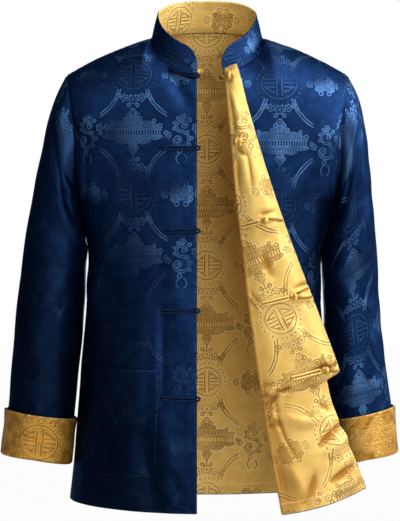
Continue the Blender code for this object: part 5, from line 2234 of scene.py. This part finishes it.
@dataclass
class Cuffs:
    """Both cuffs: each sleeve's end turned up, gold side out, with a rolled lower edge.

    The cuff stands free of the sleeve over free_span of its height, where its waves and its
    flare rise, and its free edge sags over sag_span.
    """

    cloths: Cloths
    sides: int = 108
    roll_share: float = 0.22
    roll_rows: int = 13
    rise_rows: int = 19
    rim_rows: tuple[float, ...] = (1 - 0.012, 1 - 0.030)
    girth: float = 0.33
    wave: float = 0.0009
    wave_seed: float = 6.6
    flare: float = 0.0011
    flare_phase: float = 0.7
    free_span: Span = (0.10, 0.35)
    sag: float = 0.0016
    sag_phase: float = 0.5
    sag_span: Span = (0.6, 1.0)
    thinner: float = 0.0002
    maps: dict[Side, CuffMap] = field(default_factory=lambda: {
        Side.RIGHT: CuffMap(0.0, 0.0880, 0.0),
        Side.LEFT: CuffMap(0.5, 0.2274, 0.0960),
    })

    def make(self, side: Side) -> Piece:
        """One cuff, from under its rolled edge up to its free edge."""
        rings = columns(SLEEVES[side], "mid_x", "mid_z")[-2:]
        span = SLEEVES[side][-1].r - SLEEVES[side][-2].r
        length = float(np.linalg.norm(rings[1] - rings[0]) / span)
        roll = np.linspace(0, self.roll_share, self.roll_rows)
        rise = np.linspace(self.roll_share, 1, self.rise_rows)[1:]
        shares = np.sort(np.concatenate([roll, rise, self.rim_rows]))
        section = through(shares, columns(CUFF, "share")[:, 0], columns(CUFF, "below", "outward"))
        flat = self.maps[side]
        turns = np.arange(self.sides) / self.sides + flat.start
        turn, below = np.meshgrid(turns, section[:, 0])
        up = shares[:, None]
        wave = self.wave * ripple(turn * self.girth, below, self.wave_seed + side.value)
        flare = self.flare * np.sin(2 * TAU * turn + self.flare_phase + side.value) * up**2
        outward = section[:, 1:] + (wave + flare) * smoothstep(*self.free_span, up)
        sag = self.sag * np.sin(TAU * turn + self.sag_phase) * smoothstep(*self.sag_span, up)
        base, normal = CUT.sleeve(side, turn, 1 + (below + sag) / length)
        place = base + normal * outward[..., None]
        climb = run_along(place, 0)
        across = np.linspace(0, self.girth, self.sides + 1)[None] - flat.across
        rise = climb[:, :1] - CUFF_DEPTH / 2 - flat.up
        cloth = np.stack(np.broadcast_arrays(across, rise), axis=-1)
        sheet = Sheet(place, normal, cloth, wraps=True, hem=climb[-1:] - climb)
        sheet.face_out()
        name, wall = f"jacket_cuff_{side.hand}", hemmed(sheet.hem) - self.thinner
        obj = shell(name, sheet, wall, [self.cloths.cuff, self.cloths.navy])
        return fit(obj, Grain.GOLD.value, f"cuff_{side.hand}")


SLEEVE_CREASES = {
    Side.RIGHT: (
        Crease((-0.226, -0.206), (-0.202, -0.246), 0.0045, -0.0032, bow=0.003),
        Crease((-0.232, -0.216), (-0.206, -0.262), 0.0050, 0.0022),
        Crease((-0.252, -0.236), (-0.208, -0.300), 0.0055, -0.0022, bow=-0.006),
        Crease((-0.256, -0.262), (-0.212, -0.322), 0.0060, 0.0018, bow=-0.006),
        Crease((-0.268, -0.400), (-0.226, -0.360), 0.0080, -0.0022, bow=0.004),
        Crease((-0.286, -0.436), (-0.232, -0.402), 0.0090, 0.0020, bow=0.004),
        Crease((-0.300, -0.520), (-0.250, -0.560), 0.0090, -0.0018),
        Crease((-0.262, -0.300), (-0.284, -0.540), 0.0140, 0.0022, bow=0.006),
        Crease((-0.238, -0.380), (-0.250, -0.560), 0.0110, -0.0018, bow=0.004),
        Crease((-0.258, -0.230), (-0.215, -0.290), 0.0080, -0.0026, face=Face.BACK),
        Crease((-0.268, -0.330), (-0.218, -0.370), 0.0090, 0.0024, face=Face.BACK),
        Crease((-0.280, -0.440), (-0.226, -0.410), 0.0100, -0.0024, face=Face.BACK),
        Crease((-0.270, -0.360), (-0.290, -0.560), 0.0140, 0.0022, bow=0.006, face=Face.BACK),
    ),
    Side.LEFT: (
        Crease((0.208, -0.130), (0.202, -0.250), 0.0055, -0.0030, bow=-0.003),
        Crease((0.222, -0.180), (0.206, -0.270), 0.0055, 0.0020),
        Crease((0.240, -0.230), (0.202, -0.292), 0.0060, -0.0024, bow=0.004),
        Crease((0.246, -0.262), (0.206, -0.322), 0.0065, 0.0020, bow=0.004),
        Crease((0.252, -0.395), (0.208, -0.366), 0.0080, -0.0022, bow=-0.004),
        Crease((0.262, -0.436), (0.212, -0.404), 0.0090, 0.0020),
        Crease((0.284, -0.520), (0.228, -0.556), 0.0090, -0.0018),
        Crease((0.240, -0.120), (0.252, -0.330), 0.0130, 0.0024, bow=-0.008),
        Crease((0.228, -0.330), (0.240, -0.550), 0.0120, -0.0022, bow=-0.005),
        Crease((0.250, -0.240), (0.206, -0.290), 0.0080, -0.0026, face=Face.BACK),
        Crease((0.256, -0.330), (0.208, -0.372), 0.0090, 0.0024, face=Face.BACK),
        Crease((0.262, -0.440), (0.210, -0.410), 0.0100, -0.0024, face=Face.BACK),
        Crease((0.262, -0.350), (0.276, -0.560), 0.0140, 0.0022, bow=-0.006, face=Face.BACK),
    ),
}


# ---------------------------------------------------------------- collar and pockets
class Rise(NamedTuple):
    """The collar's height at one angle round the neck, in degrees from the front."""

    angle: float
    height: float


class Crush(NamedTuple):
    """A soft dent across the collar: where it lies along it, and how wide it is."""

    along: float
    width: float


@dataclass
class Collar:
    """The stiffened stand collar, with its two round front ends.

    It is plump between its faces, dented by its crushes, rolled out at its foot and sunk there
    into the neck seam, and thicker along its rim.
    """

    cloths: Cloths
    wall: float = 0.0024
    lean: float = 0.0100
    end_radius: float = 0.024
    end_columns: int = 26
    left_end_x: float = 0.0250
    drop: float = 0.0010
    inset: float = 0.0032
    rise: tuple[Rise, ...] = (
        Rise(0, 0.0370), Rise(45, 0.0425), Rise(90, 0.0420), Rise(135, 0.0478), Rise(180, 0.0480),
    )
    across: int = 190
    rows: int = 22
    map_origin: Flat = (-0.070, 0.020)
    plump: float = 0.0006
    crush: float = 0.0010
    crushes: tuple[Crush, ...] = (Crush(0.16, 0.020), Crush(0.31, 0.024))
    wave: float = 0.0005
    wave_seed: float = 8.1
    wave_fade: float = 0.012
    foot: float = 0.0022
    foot_width: float = 0.0028
    sink: float = 0.0016
    sink_width: float = 0.0020
    rim: float = 0.0006
    rim_in: float = 0.0022

    def place(self) -> tuple[Array, Array]:
        """The collar's middle surface: the neckline moved in and leaning inwards, whose height
        drops away at both ends on a quarter circle.

        Returns:
            The points and the outward normals.
        """
        left_end = np.arcsin(self.left_end_x / CUT.neck_half_width)
        right_end = TAU - np.arcsin(CUT.right_edge / CUT.neck_half_width)
        corner = 1 - np.cos(np.linspace(0, np.pi / 2, self.end_columns))
        corner *= self.end_radius / CUT.neck_front[1]
        between = self.across - 2 * self.end_columns + 2
        middle = np.linspace(left_end + corner[-1], right_end - corner[-1], between)
        angle = np.concatenate([left_end + corner, middle[1:-1], (right_end - corner)[::-1]])
        base = CUT.neckline(angle)
        inward = -base * np.array([1, 1, 0])
        inward[:, 1] += CUT.side_y
        inward = unit(inward)
        base = base + inward * self.inset
        base[:, 2] -= self.drop
        folded = np.degrees(np.abs(np.mod(angle + np.pi, TAU) - np.pi))
        heights = columns(self.rise, "height")
        rise = through(folded, columns(self.rise, "angle")[:, 0], heights)[:, 0]
        along = run_along(base[:, None], 0)[:, 0]
        from_end = np.minimum(along, along[-1] - along)
        inside = np.clip(self.end_radius - from_end, 0, self.end_radius)
        height = rise - self.end_radius + np.sqrt(self.end_radius**2 - inside**2)
        share = graded(self.rows, length=0.044)[:, None, None]
        top = inward * (self.lean * height / rise)[:, None]
        top[:, 2] += height
        return base + share * top, np.broadcast_to(-inward, (len(share), *inward.shape))

    def make(self) -> Piece:
        """The collar, navy outside and gold inside, with a rim that shows a little gold."""
        place, normal = self.place()
        level, up = run_along(place, 1), run_along(place, 0)
        free = np.minimum(np.minimum(level, level[:, -1:] - level), up[-1:] - up)
        start, foot = self.map_origin
        cloth = np.stack([level - level[:, -1:] - start, up - foot], axis=-1)
        sheet = Sheet(place, normal, cloth, hem=free)
        sheet.face_out()
        plump = self.plump * np.sin(np.pi * np.clip(up / up[-1:], 0, 1))
        dents = sum(bell(level - crush.along, crush.width) for crush in self.crushes)
        waves = self.wave * ripple(level, up, self.wave_seed)
        waves = waves - self.crush * dents * up / up[-1:].max()
        foot_roll = self.foot * bell(up, self.foot_width)
        sheet.raise_by(plump + waves * smoothstep(0, self.wave_fade, free) + foot_roll)
        sheet.place[..., 2] -= self.sink * bell(up, self.sink_width)
        wall = self.wall + self.rim * bell(free - self.rim_in, self.rim_in)
        faces = [self.cloths.navy, self.cloths.gold]
        obj = shell("jacket_collar", sheet, wall, faces, piped=True)
        return fit(obj, Grain.NAVY.value, "collar")


class PocketSeat(NamedTuple):
    """Where a pocket lies across its front, as two shares, and what it shows and lies on."""

    low: float
    high: float
    width: float
    seed: float
    creases: tuple[Crease, ...]


POCKET_SEATS = {
    Side.RIGHT: PocketSeat(0.179, 0.750, 0.145, RIGHT_SEED, RIGHT_FRONT_CREASES),
    Side.LEFT: PocketSeat(0.119, 0.750, 0.106, FLAP_SEED, LEFT_FRONT_CREASES),
}


@dataclass
class Pockets:
    """A patch pocket on each front, its edges turned under and its mouth hemmed.

    Its cloth is thicker over the hem of its mouth and over its turnings, and it bellies out
    away from its sewn sides, most at the mouth.
    """

    cloths: Cloths
    body: Body
    wall: float = 0.0012
    gap: float = 0.0004
    heights: Span = (0.077, 0.308)
    columns: int = 56
    rows: int = 60
    map_shift: Flat = (0.006, 0.004)
    belly: float = 0.0026
    belly_side: float = 0.05
    belly_mouth: float = 0.10
    pucker: float = 0.0003
    pucker_pitch: float = 0.0115
    pucker_width: float = 0.010
    hem: float = 0.0006
    hem_span: Span = (0.021, 0.018)
    turning: float = 0.0005
    turning_span: Span = (0.009, 0.007)

    def make(self, side: Side) -> Piece:
        """One pocket, laid on the front with its mouth standing slightly off it."""
        seat, (foot, top) = POCKET_SEATS[side], self.heights
        across = seat.low + (seat.high - seat.low) * graded(self.columns, length=0.14)
        rise = foot + (top - foot) * graded(self.rows, length=0.17)
        place, normal = CUT.front(side, *np.meshgrid(across, rise))
        right = side is Side.RIGHT
        origin = np.array(self.body.right_origin if right else self.body.left_origin)
        u = place[:, :1, 0] + side.value * run_along(place, 1, (0, 1))
        cloth = np.stack([u, place[..., 2]], axis=-1) - origin + np.array(self.map_shift)
        level, up = run_along(place, 1), run_along(place, 0)
        sewn = np.minimum(np.minimum(level, level[:, -1:] - level), up)
        mouth = up[-1:] - up
        sheet = Sheet(place, normal, cloth, hem=np.minimum(sewn, mouth))
        sheet.crease(seat.creases)
        sheet.raise_by(WAVE * ripple(place[..., 0], place[..., 2], seat.seed))
        off = CUT.cloth / 2 + self.gap + self.wall / 2
        belly = self.belly * smoothstep(0.0, self.belly_side, sewn)
        belly = belly * smoothstep(self.belly_mouth, 0.0, mouth)
        pucker = np.sin(TAU * cloth.sum(axis=-1) / self.pucker_pitch)
        pucker = self.pucker * pucker * bell(sewn, self.pucker_width)
        sheet.raise_by(off + belly + pucker)
        wall = self.wall + self.hem * smoothstep(*self.hem_span, mouth)
        wall = wall + self.turning * smoothstep(*self.turning_span, sewn)
        name, faces = f"jacket_pocket_{side.hand}", [self.cloths.navy, self.cloths.navy]
        obj = shell(name, sheet, wall, faces)
        return fit(obj, Grain.NAVY.value, f"pocket_{side.hand}")


# ---------------------------------------------------------------- frogs and ball knots
class RightFrog(NamedTuple):
    """A closure of the right front: its height, its cord's length, and where its ball sits."""

    z: float
    length: float
    knot: Place | None


class FlapFrog(NamedTuple):
    """A closure of the turned-back front, placed in from the free edge."""

    t: float
    knot_in: float
    knot_radius: float
    strip: float
    loops: int


@dataclass(frozen=True)
class BallKnot:
    """A knotted ball: a sphere whose radius swells in pairs of strands along three great
    circles, each dipping under the next where they cross.

    lay turns the strands about the ball's own axis.  Where the strands lie, their width, the
    core and the relief are shares of the radius, and over is how high a strand stays where it
    dips under another.
    """

    radius: float
    lay: float
    rings: int = 38
    sides: int = 64
    strand_apart: float = 0.20
    strand_width: float = 0.19
    core: float = 0.86
    relief: float = 0.17
    over: float = 0.72

    def swell(self, way: Array) -> Array:
        """How far each direction from the centre is raised, from 0 to 1."""
        c, s = np.cos(self.lay), np.sin(self.lay)
        axes = np.array([[0.74 * c, 0.74 * s, 0.67], [-0.8 * s, 0.8 * c, 0.6], [0.5, -0.62, 0.6]])
        swell = np.zeros(len(way))
        for number, axis in enumerate(unit(axes)):
            off = np.abs(way @ axis) - self.strand_apart
            strand = np.sqrt(np.clip(1 - (off / self.strand_width) ** 2, 0, 1))
            turn = np.arctan2(way @ axes[number - 1], way @ axes[number - 2])
            under = 0.5 + 0.5 * np.sin(3 * turn)
            swell = np.maximum(swell, strand * (self.over + (1 - self.over) * under))
        return swell

    def make(self, name: str, centre: Array, material: Material) -> Piece:
        """The ball, with its two poles as points past its first and last rings.

        Args:
            name: The piece's name.
            centre: Its centre.
            material: Its finish.

        Returns:
            The object.
        """
        polar = np.linspace(0, np.pi, self.rings + 2)[1:-1]
        p, a = np.meshgrid(polar, np.arange(self.sides) / self.sides * TAU, indexing="ij")
        way = points(np.sin(p) * np.cos(a), np.sin(p) * np.sin(a), np.cos(p)).reshape(-1, 3)
        way = np.concatenate([way, [[0, 0, 1.0], [0, 0, -1.0]]])
        reach = self.radius * (self.core + self.relief * self.swell(way))
        quads = closed_rings(self.rings, self.sides)[:, ::-1]
        flat = np.stack([np.append(a, [0, 0]), np.append(p, [0, np.pi])], axis=-1) * self.radius
        uv = flat[quads]
        round_ball = TAU * self.radius
        first = uv[:, :1, 0]
        uv[..., 0] = first + (uv[..., 0] - first + round_ball / 2) % round_ball - round_ball / 2
        place = centre + way * reach[:, None]
        return mesh_object(name, place, quads, uv, np.zeros(len(quads)), [material])


EYE_POINTS, RUN_POINTS, LOOP_POINTS = 29, 44, 30  # along a cord's eye, its run and a loop
SURFACE_STEPS, EDGE_STEPS = 160, 400  # where a row of cloth and a front's edge are measured


@dataclass
class Frogs:
    """The cord closures of both fronts, with their ball knots.

    cord is a cord's radius, and spacing lies between the two runs of a doubled one.  An eye's
    radius is in spacings, knot_lead in cords, and stitch_span, from a stitch's upper end to its
    lower one, in shares of the way from a closure's middle to its side.  A hand-sewn cord
    strays up and down, and swells where its strip twists.  A row under flap_most long is the
    flap's.
    """

    cloths: Cloths
    body: Body
    cord: float = 0.0018
    cord_sides: int = 14
    loop_sides: int = 12
    loop_share: float = 1.05
    spacing: float = 0.0044
    loop_reach: float = 0.0050
    eye: float = 0.6
    eye_turn: float = 0.62 * np.pi
    eye_lead: float = 0.009
    knot_radius: float = 0.0052
    knot_lead: float = 0.3
    stray: float = 0.0011
    stray_turn: float = 5.5
    stray_seed: float = 1.7
    twist: float = 0.06
    twist_turn: float = 60.0
    loop_end: float = 0.002
    loop_half: float = 0.0026
    loop_sag: float = 0.0006
    pair_fall: float = 0.16
    lone_fall: float = -0.42
    stitch_ends: Span = (0.003, 0.002)
    stitch_pitch: float = 0.0036
    stitch_slant: float = 0.0009
    stitch_high: float = 0.0006
    stitch_span: Span = (0.86, 1.22)
    thread: float = 0.00022
    thread_arch: float = 0.0004
    right: tuple[RightFrog, ...] = (
        RightFrog(-0.0690, 0.047, (0.0056, 0.0025, 0.0075)),
        RightFrog(-0.1810, 0.054, None),
        RightFrog(-0.3087, 0.051, None),
        RightFrog(-0.4316, 0.052, None),
        RightFrog(-0.5670, 0.054, (0.0030, 0.0068, 0.0170)),
    )
    flap: tuple[FlapFrog, ...] = (
        FlapFrog(0.948, 0.0135, 0.0072, 0.000, 0),
        FlapFrog(0.745, 0.0270, 0.0078, 0.000, 0),
        FlapFrog(0.588, 0.0290, 0.0062, 0.040, 1),
        FlapFrog(0.434, 0.0300, 0.0060, 0.042, 2),
        FlapFrog(0.281, 0.0240, 0.0060, 0.048, 2),
    )
    fold_knot: Flat = (0.962, 0.0040)  # the height on the fold, and the ball's radius
    flap_most: float = 0.15

    @property
    def off(self) -> float:
        """How far a cord's centre lies off the middle of the cloth under it."""
        return CUT.cloth / 2 + CUT.seam_gap + self.cord

    def hairpin(self, length: float, reach: float) -> Array:
        """A doubled cord's route on flat cloth: in along one run, round an eye, and back."""
        eye = self.eye * self.spacing
        turn = np.linspace(-self.eye_turn, self.eye_turn, EYE_POINTS)
        round_eye = np.stack([reach - eye + eye * np.cos(turn), eye * np.sin(turn)], axis=-1)
        straight = np.linspace(-length, reach - self.eye_lead, RUN_POINTS)
        run = np.stack([straight, np.full(RUN_POINTS, -self.spacing / 2)], axis=-1)
        return np.concatenate([run, round_eye, run[::-1] * np.array([1, -1])])

    def on_sheet(
        self, surface: Surface, t: float, distance: Array, across: Array | float, off: float
    ) -> Array:
        """Points laid on a cloth surface.

        Args:
            surface: The cloth, by share along a row and height.
            t: The row.
            distance: Distance along the row from its start; under 0 it runs on past the edge.
            across: Distance up the row.
            off: Distance off the cloth's middle surface.

        Returns:
            The points.
        """
        share = np.linspace(0, 1, SURFACE_STEPS)
        steps = np.linalg.norm(np.diff(surface(share, np.full_like(share, t)), axis=0), axis=-1)
        length = float(steps.sum())
        share = np.interp(distance, np.append(0, np.cumsum(steps)), share)
        at = np.full_like(share, t)
        place = surface(share, at)
        along = unit(surface(share + STEP, at) - surface(share, at))
        rise = unit(surface(share, at + STEP) - surface(share, at - STEP))
        normal = unit(np.cross(along, rise))
        normal = normal * -np.sign(normal[..., 1:2])
        across = np.broadcast_to(across, distance.shape)
        place = place + along * np.minimum(distance, 0)[:, None] + rise * across[:, None]
        lift = np.full(distance.shape, off)
        if length < self.flap_most:
            lift = lift + self.body.flap_lift(place, normal, distance, length - distance)
        return place + normal * lift[:, None]

    def stitches(self, name: str, starts: Array, ends: Array) -> Piece:
        """Small threads sewn over a cord's edge: each a short eight-faced bar, arched off the
        cloth, from the cord's side down to the cloth.

        Args:
            name: The piece's name.
            starts: Where each thread starts.
            ends: Where each thread ends.

        Returns:
            The object.
        """
        ahead = unit(ends - starts)
        side = unit(np.cross(ahead, np.array([0.0, -1.0, 0.0])))
        up = np.cross(side, ahead)
        middle = (starts + ends) / 2 + up * np.where(up[:, 1:2] < 0, 1, -1) * self.thread_arch
        ring = [side[:, None], up[:, None], -side[:, None], -up[:, None]]
        ring = np.concatenate(ring, axis=1) * self.thread
        rows = [
            place[:, None] + size * ring
            for place, size in ((starts, 0.6), (middle, 1.0), (ends, 0.6))
        ]
        places = np.stack(rows, axis=1).reshape(-1, 3)
        one = np.concatenate([corners_of(3, 4, True, 4), [[3, 2, 1, 0], [8, 9, 10, 11]]])
        quads = (np.arange(len(starts))[:, None, None] * 12 + one).reshape(-1, 4)
        uv = np.zeros((len(quads), 4, 2))
        return mesh_object(name, places, quads, uv, np.zeros(len(quads)), [self.cloths.navy_cord])

    def right_front(self) -> None:
        """The right front's five doubled cords with their loops, and two ball knots."""

        def surface(s: Array, t: Array) -> Array:
            """The right front's middle surface."""
            return CUT.front(Side.RIGHT, s, t)[0]

        rows = np.linspace(0, 1, EDGE_STEPS)
        edge = surface(np.zeros_like(rows), rows)
        for number, frog in enumerate(self.right, start=1):
            t = float(np.interp(frog.z, edge[:, 2], rows))
            route = self.hairpin(frog.length, self.loop_reach)
            place = self.on_sheet(surface, t, -route[:, 0], route[:, 1], self.off)
            from_eye = np.abs(np.linspace(-1, 1, len(place)))
            stray = np.sin(self.stray_turn * from_eye + self.stray_seed * number)
            place[:, 2] += self.stray * stray * from_eye
            twist = np.sin(np.linspace(0, self.twist_turn, len(place)) + number)
            radius = self.cord * (1 + self.twist * twist)
            name = f"frog_cord_right_{number}"
            cord = tube(name, place, radius, self.cord_sides, self.cloths.navy_cord)
            fit(cord, "navy_cord", f"frog_right_{number}")
            begin, end = self.stitch_ends
            along = np.arange(begin, frog.length - end, self.stitch_pitch)
            high, low = self.off + self.stitch_high, self.off - self.cord
            near, far = (share * (self.spacing / 2 + self.cord) for share in self.stitch_span)
            slanted = along + self.stitch_slant
            starts = [self.on_sheet(surface, t, along, way * near, high) for way in (-1, 1)]
            ends = [self.on_sheet(surface, t, slanted, way * far, low) for way in (-1, 1)]
            name = f"frog_stitches_right_{number}"
            fit(self.stitches(name, np.concatenate(starts), np.concatenate(ends)), "navy_cord")
            if frog.knot is not None:
                at = surface(np.array(0.0), np.array(t)) + np.array(frog.knot)
                knot = BallKnot(self.knot_radius, lay=number)
                ball = knot.make(f"ball_knot_right_{number}", at, self.cloths.gold_cord)
                fit(ball, "gold_cord", f"knot_right_{number}")

    def left_front(self) -> None:
        """The turned-back front's ball knots, doubled strips and loops, and the small knot
        against the fold."""

        def surface(share: Array, t: Array) -> Array:
            """The flap, measured in from its free edge."""
            return CUT.flap(1 - share, t)

        for number, frog in enumerate(self.flap, start=1):
            seat = self.off - self.cord + frog.knot_radius
            centre = self.on_sheet(surface, frog.t, np.array([frog.knot_in]), 0.0, seat)[0]
            knot = BallKnot(frog.knot_radius, lay=0.8 * number)
            ball = knot.make(f"ball_knot_left_{number}", centre, self.cloths.gold_cord)
            fit(ball, "gold_cord", f"knot_left_{number}")
            clear = frog.knot_radius + self.knot_lead * self.cord
            if frog.strip:
                route = self.hairpin(frog.strip, 0.0)
                inward = frog.knot_in + clear - route[:, 0]
                place = self.on_sheet(surface, frog.t, inward, route[:, 1], self.off)
                name = f"frog_strip_left_{number}"
                cord = tube(name, place, self.cord, self.cord_sides, self.cloths.gold_cord)
                fit(cord, "gold_cord", f"strip_left_{number}")
            for run in range(frog.loops):
                reach = np.linspace(frog.knot_in - clear, self.loop_end, LOOP_POINTS)
                fall = self.pair_fall if frog.loops > 1 else self.lone_fall
                spread = self.loop_half + fall * (frog.knot_in - reach)
                spread = spread + self.loop_sag * np.sin(np.linspace(0, np.pi, LOOP_POINTS))
                spread = spread * (1 - 2 * run)
                place = self.on_sheet(surface, frog.t, reach, spread, self.off)
                name, radius = f"frog_loop_left_{number}_{run + 1}", self.loop_share * self.cord
                cord = tube(name, place, radius, self.loop_sides, self.cloths.brown_cord)
                fit(cord, "gold_cord", f"loop_left_{number}_{run + 1}")
        t, radius = self.fold_knot
        turned, normal = CUT.front(Side.LEFT, np.array(0.0), np.array(t))
        beside = CUT.fold_radius + CUT.cloth / 2 + CUT.seam_gap + radius
        centre = turned + normal * CUT.fold_radius - np.array([beside, 0.0, 0.0])
        ball = BallKnot(radius, lay=2.0).make("ball_knot_fold", centre, self.cloths.brown_cord)
        fit(ball, "gold_cord", "knot_left_fold")


# ---------------------------------------------------------------- the studio
class Lamp(NamedTuple):
    """A square soft light: its name, where it stands, its side in metres and its watts."""

    name: str
    at: Place
    size: float
    power: float


@dataclass
class Studio:
    """The camera, the lights and the pale floor."""

    camera_at: Place = (-0.0112, -3.2, -0.354)
    lens: float = 180.0
    sensor: float = 36.0
    floor_z: float = -0.86
    floor_reach: float = 9.0
    floor_lines: int = 25
    lit: float = 0.03
    aim: Place = (0.0, 0.0, -0.25)
    lamps: tuple[Lamp, ...] = (
        Lamp("key", (1.2, -0.8, 2.4), 1.5, 90.0),
        Lamp("side", (2.2, 0.2, 0.8), 1.3, 60.0),
        Lamp("front", (0.7, -2.5, 0.0), 1.2, 29.0),
        Lamp("fill", (-1.6, -1.4, 1.6), 1.2, 18.0),
        Lamp("top", (0.0, -2.2, 1.8), 1.3, 7.0),
        Lamp("back", (0.0, 2.8, -0.30), 0.8, 16.0),
    )

    def camera(self) -> None:
        """A long lens, level with the jacket's middle."""
        data = bpy.data.cameras.new("camera")
        data.lens = self.lens
        data.sensor_fit = "HORIZONTAL"
        data.sensor_width = self.sensor
        obj = linked("camera", data)
        obj.location = self.camera_at
        obj.rotation_euler = (np.pi / 2, 0.0, 0.0)
        bpy.context.scene.camera = obj

    def light(self, lamp: Lamp) -> None:
        """One lamp, turned towards the middle of the jacket."""
        data = bpy.data.lights.new(lamp.name, "AREA")
        data.shape = "SQUARE"
        data.size = lamp.size
        data.energy = lamp.power
        obj = linked(lamp.name, data)
        back = unit(np.array(lamp.at) - np.array(self.aim))
        obj.location = lamp.at
        obj.rotation_euler = (np.arccos(back[2]), 0.0, np.arctan2(back[0], -back[1]))

    def floor(self) -> None:
        """A wide pale floor well under the hem."""
        lines = self.floor_lines
        reach = np.linspace(-self.floor_reach, self.floor_reach, lines)
        x, y = np.meshgrid(reach, reach)
        quads = corners_of(lines, lines, False, lines)
        places = points(x, y, self.floor_z).reshape(-1, 3)
        materials = [StageFinish().material()]
        uv, slots = places[quads][..., :2], np.zeros(len(quads))
        mesh_object("floor", places, quads, uv, slots, materials)

    def sky(self) -> None:
        """Even white surroundings: bright to look at, softer as a light."""
        world = bpy.data.worlds.new("surroundings")
        world.use_nodes = True
        tree = world.node_tree
        tree.nodes.clear()
        out = tree.nodes.new("ShaderNodeOutputWorld")
        mix = tree.nodes.new("ShaderNodeMixShader")
        path = tree.nodes.new("ShaderNodeLightPath")
        tree.links.new(path.outputs["Is Camera Ray"], mix.inputs[0])
        for slot, strength in ((1, self.lit), (2, 1.0)):
            shade = tree.nodes.new("ShaderNodeBackground")
            shade.inputs["Color"].default_value = (1.0, 1.0, 1.0, 1.0)
            shade.inputs["Strength"].default_value = strength
            tree.links.new(shade.outputs[0], mix.inputs[slot])
        tree.links.new(mix.outputs[0], out.inputs["Surface"])
        bpy.context.scene.world = world

    def make(self) -> None:
        """Sets the whole studio up."""
        self.camera()
        self.floor()
        self.sky()
        for lamp in self.lamps:
            self.light(lamp)
        bpy.context.scene.view_settings.view_transform = "Standard"


def main() -> None:
    """Builds the jacket over its frame, and the studio round it."""
    logging.basicConfig(level=logging.INFO, format="%(name)s: %(message)s")
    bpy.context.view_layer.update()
    cloths = Cloths.woven()
    body = Body(cloths)
    body.back()
    body.right_front()
    body.left_front()
    sleeves, cuffs, pockets = Sleeves(cloths), Cuffs(cloths), Pockets(cloths, body)
    for side in Side:
        sleeves.make(side)
        cuffs.make(side)
        pockets.make(side)
    Collar(cloths).make()
    frogs = Frogs(cloths, body)
    frogs.right_front()
    frogs.left_front()
    Studio().make()


if __name__ == "__main__":
    main()
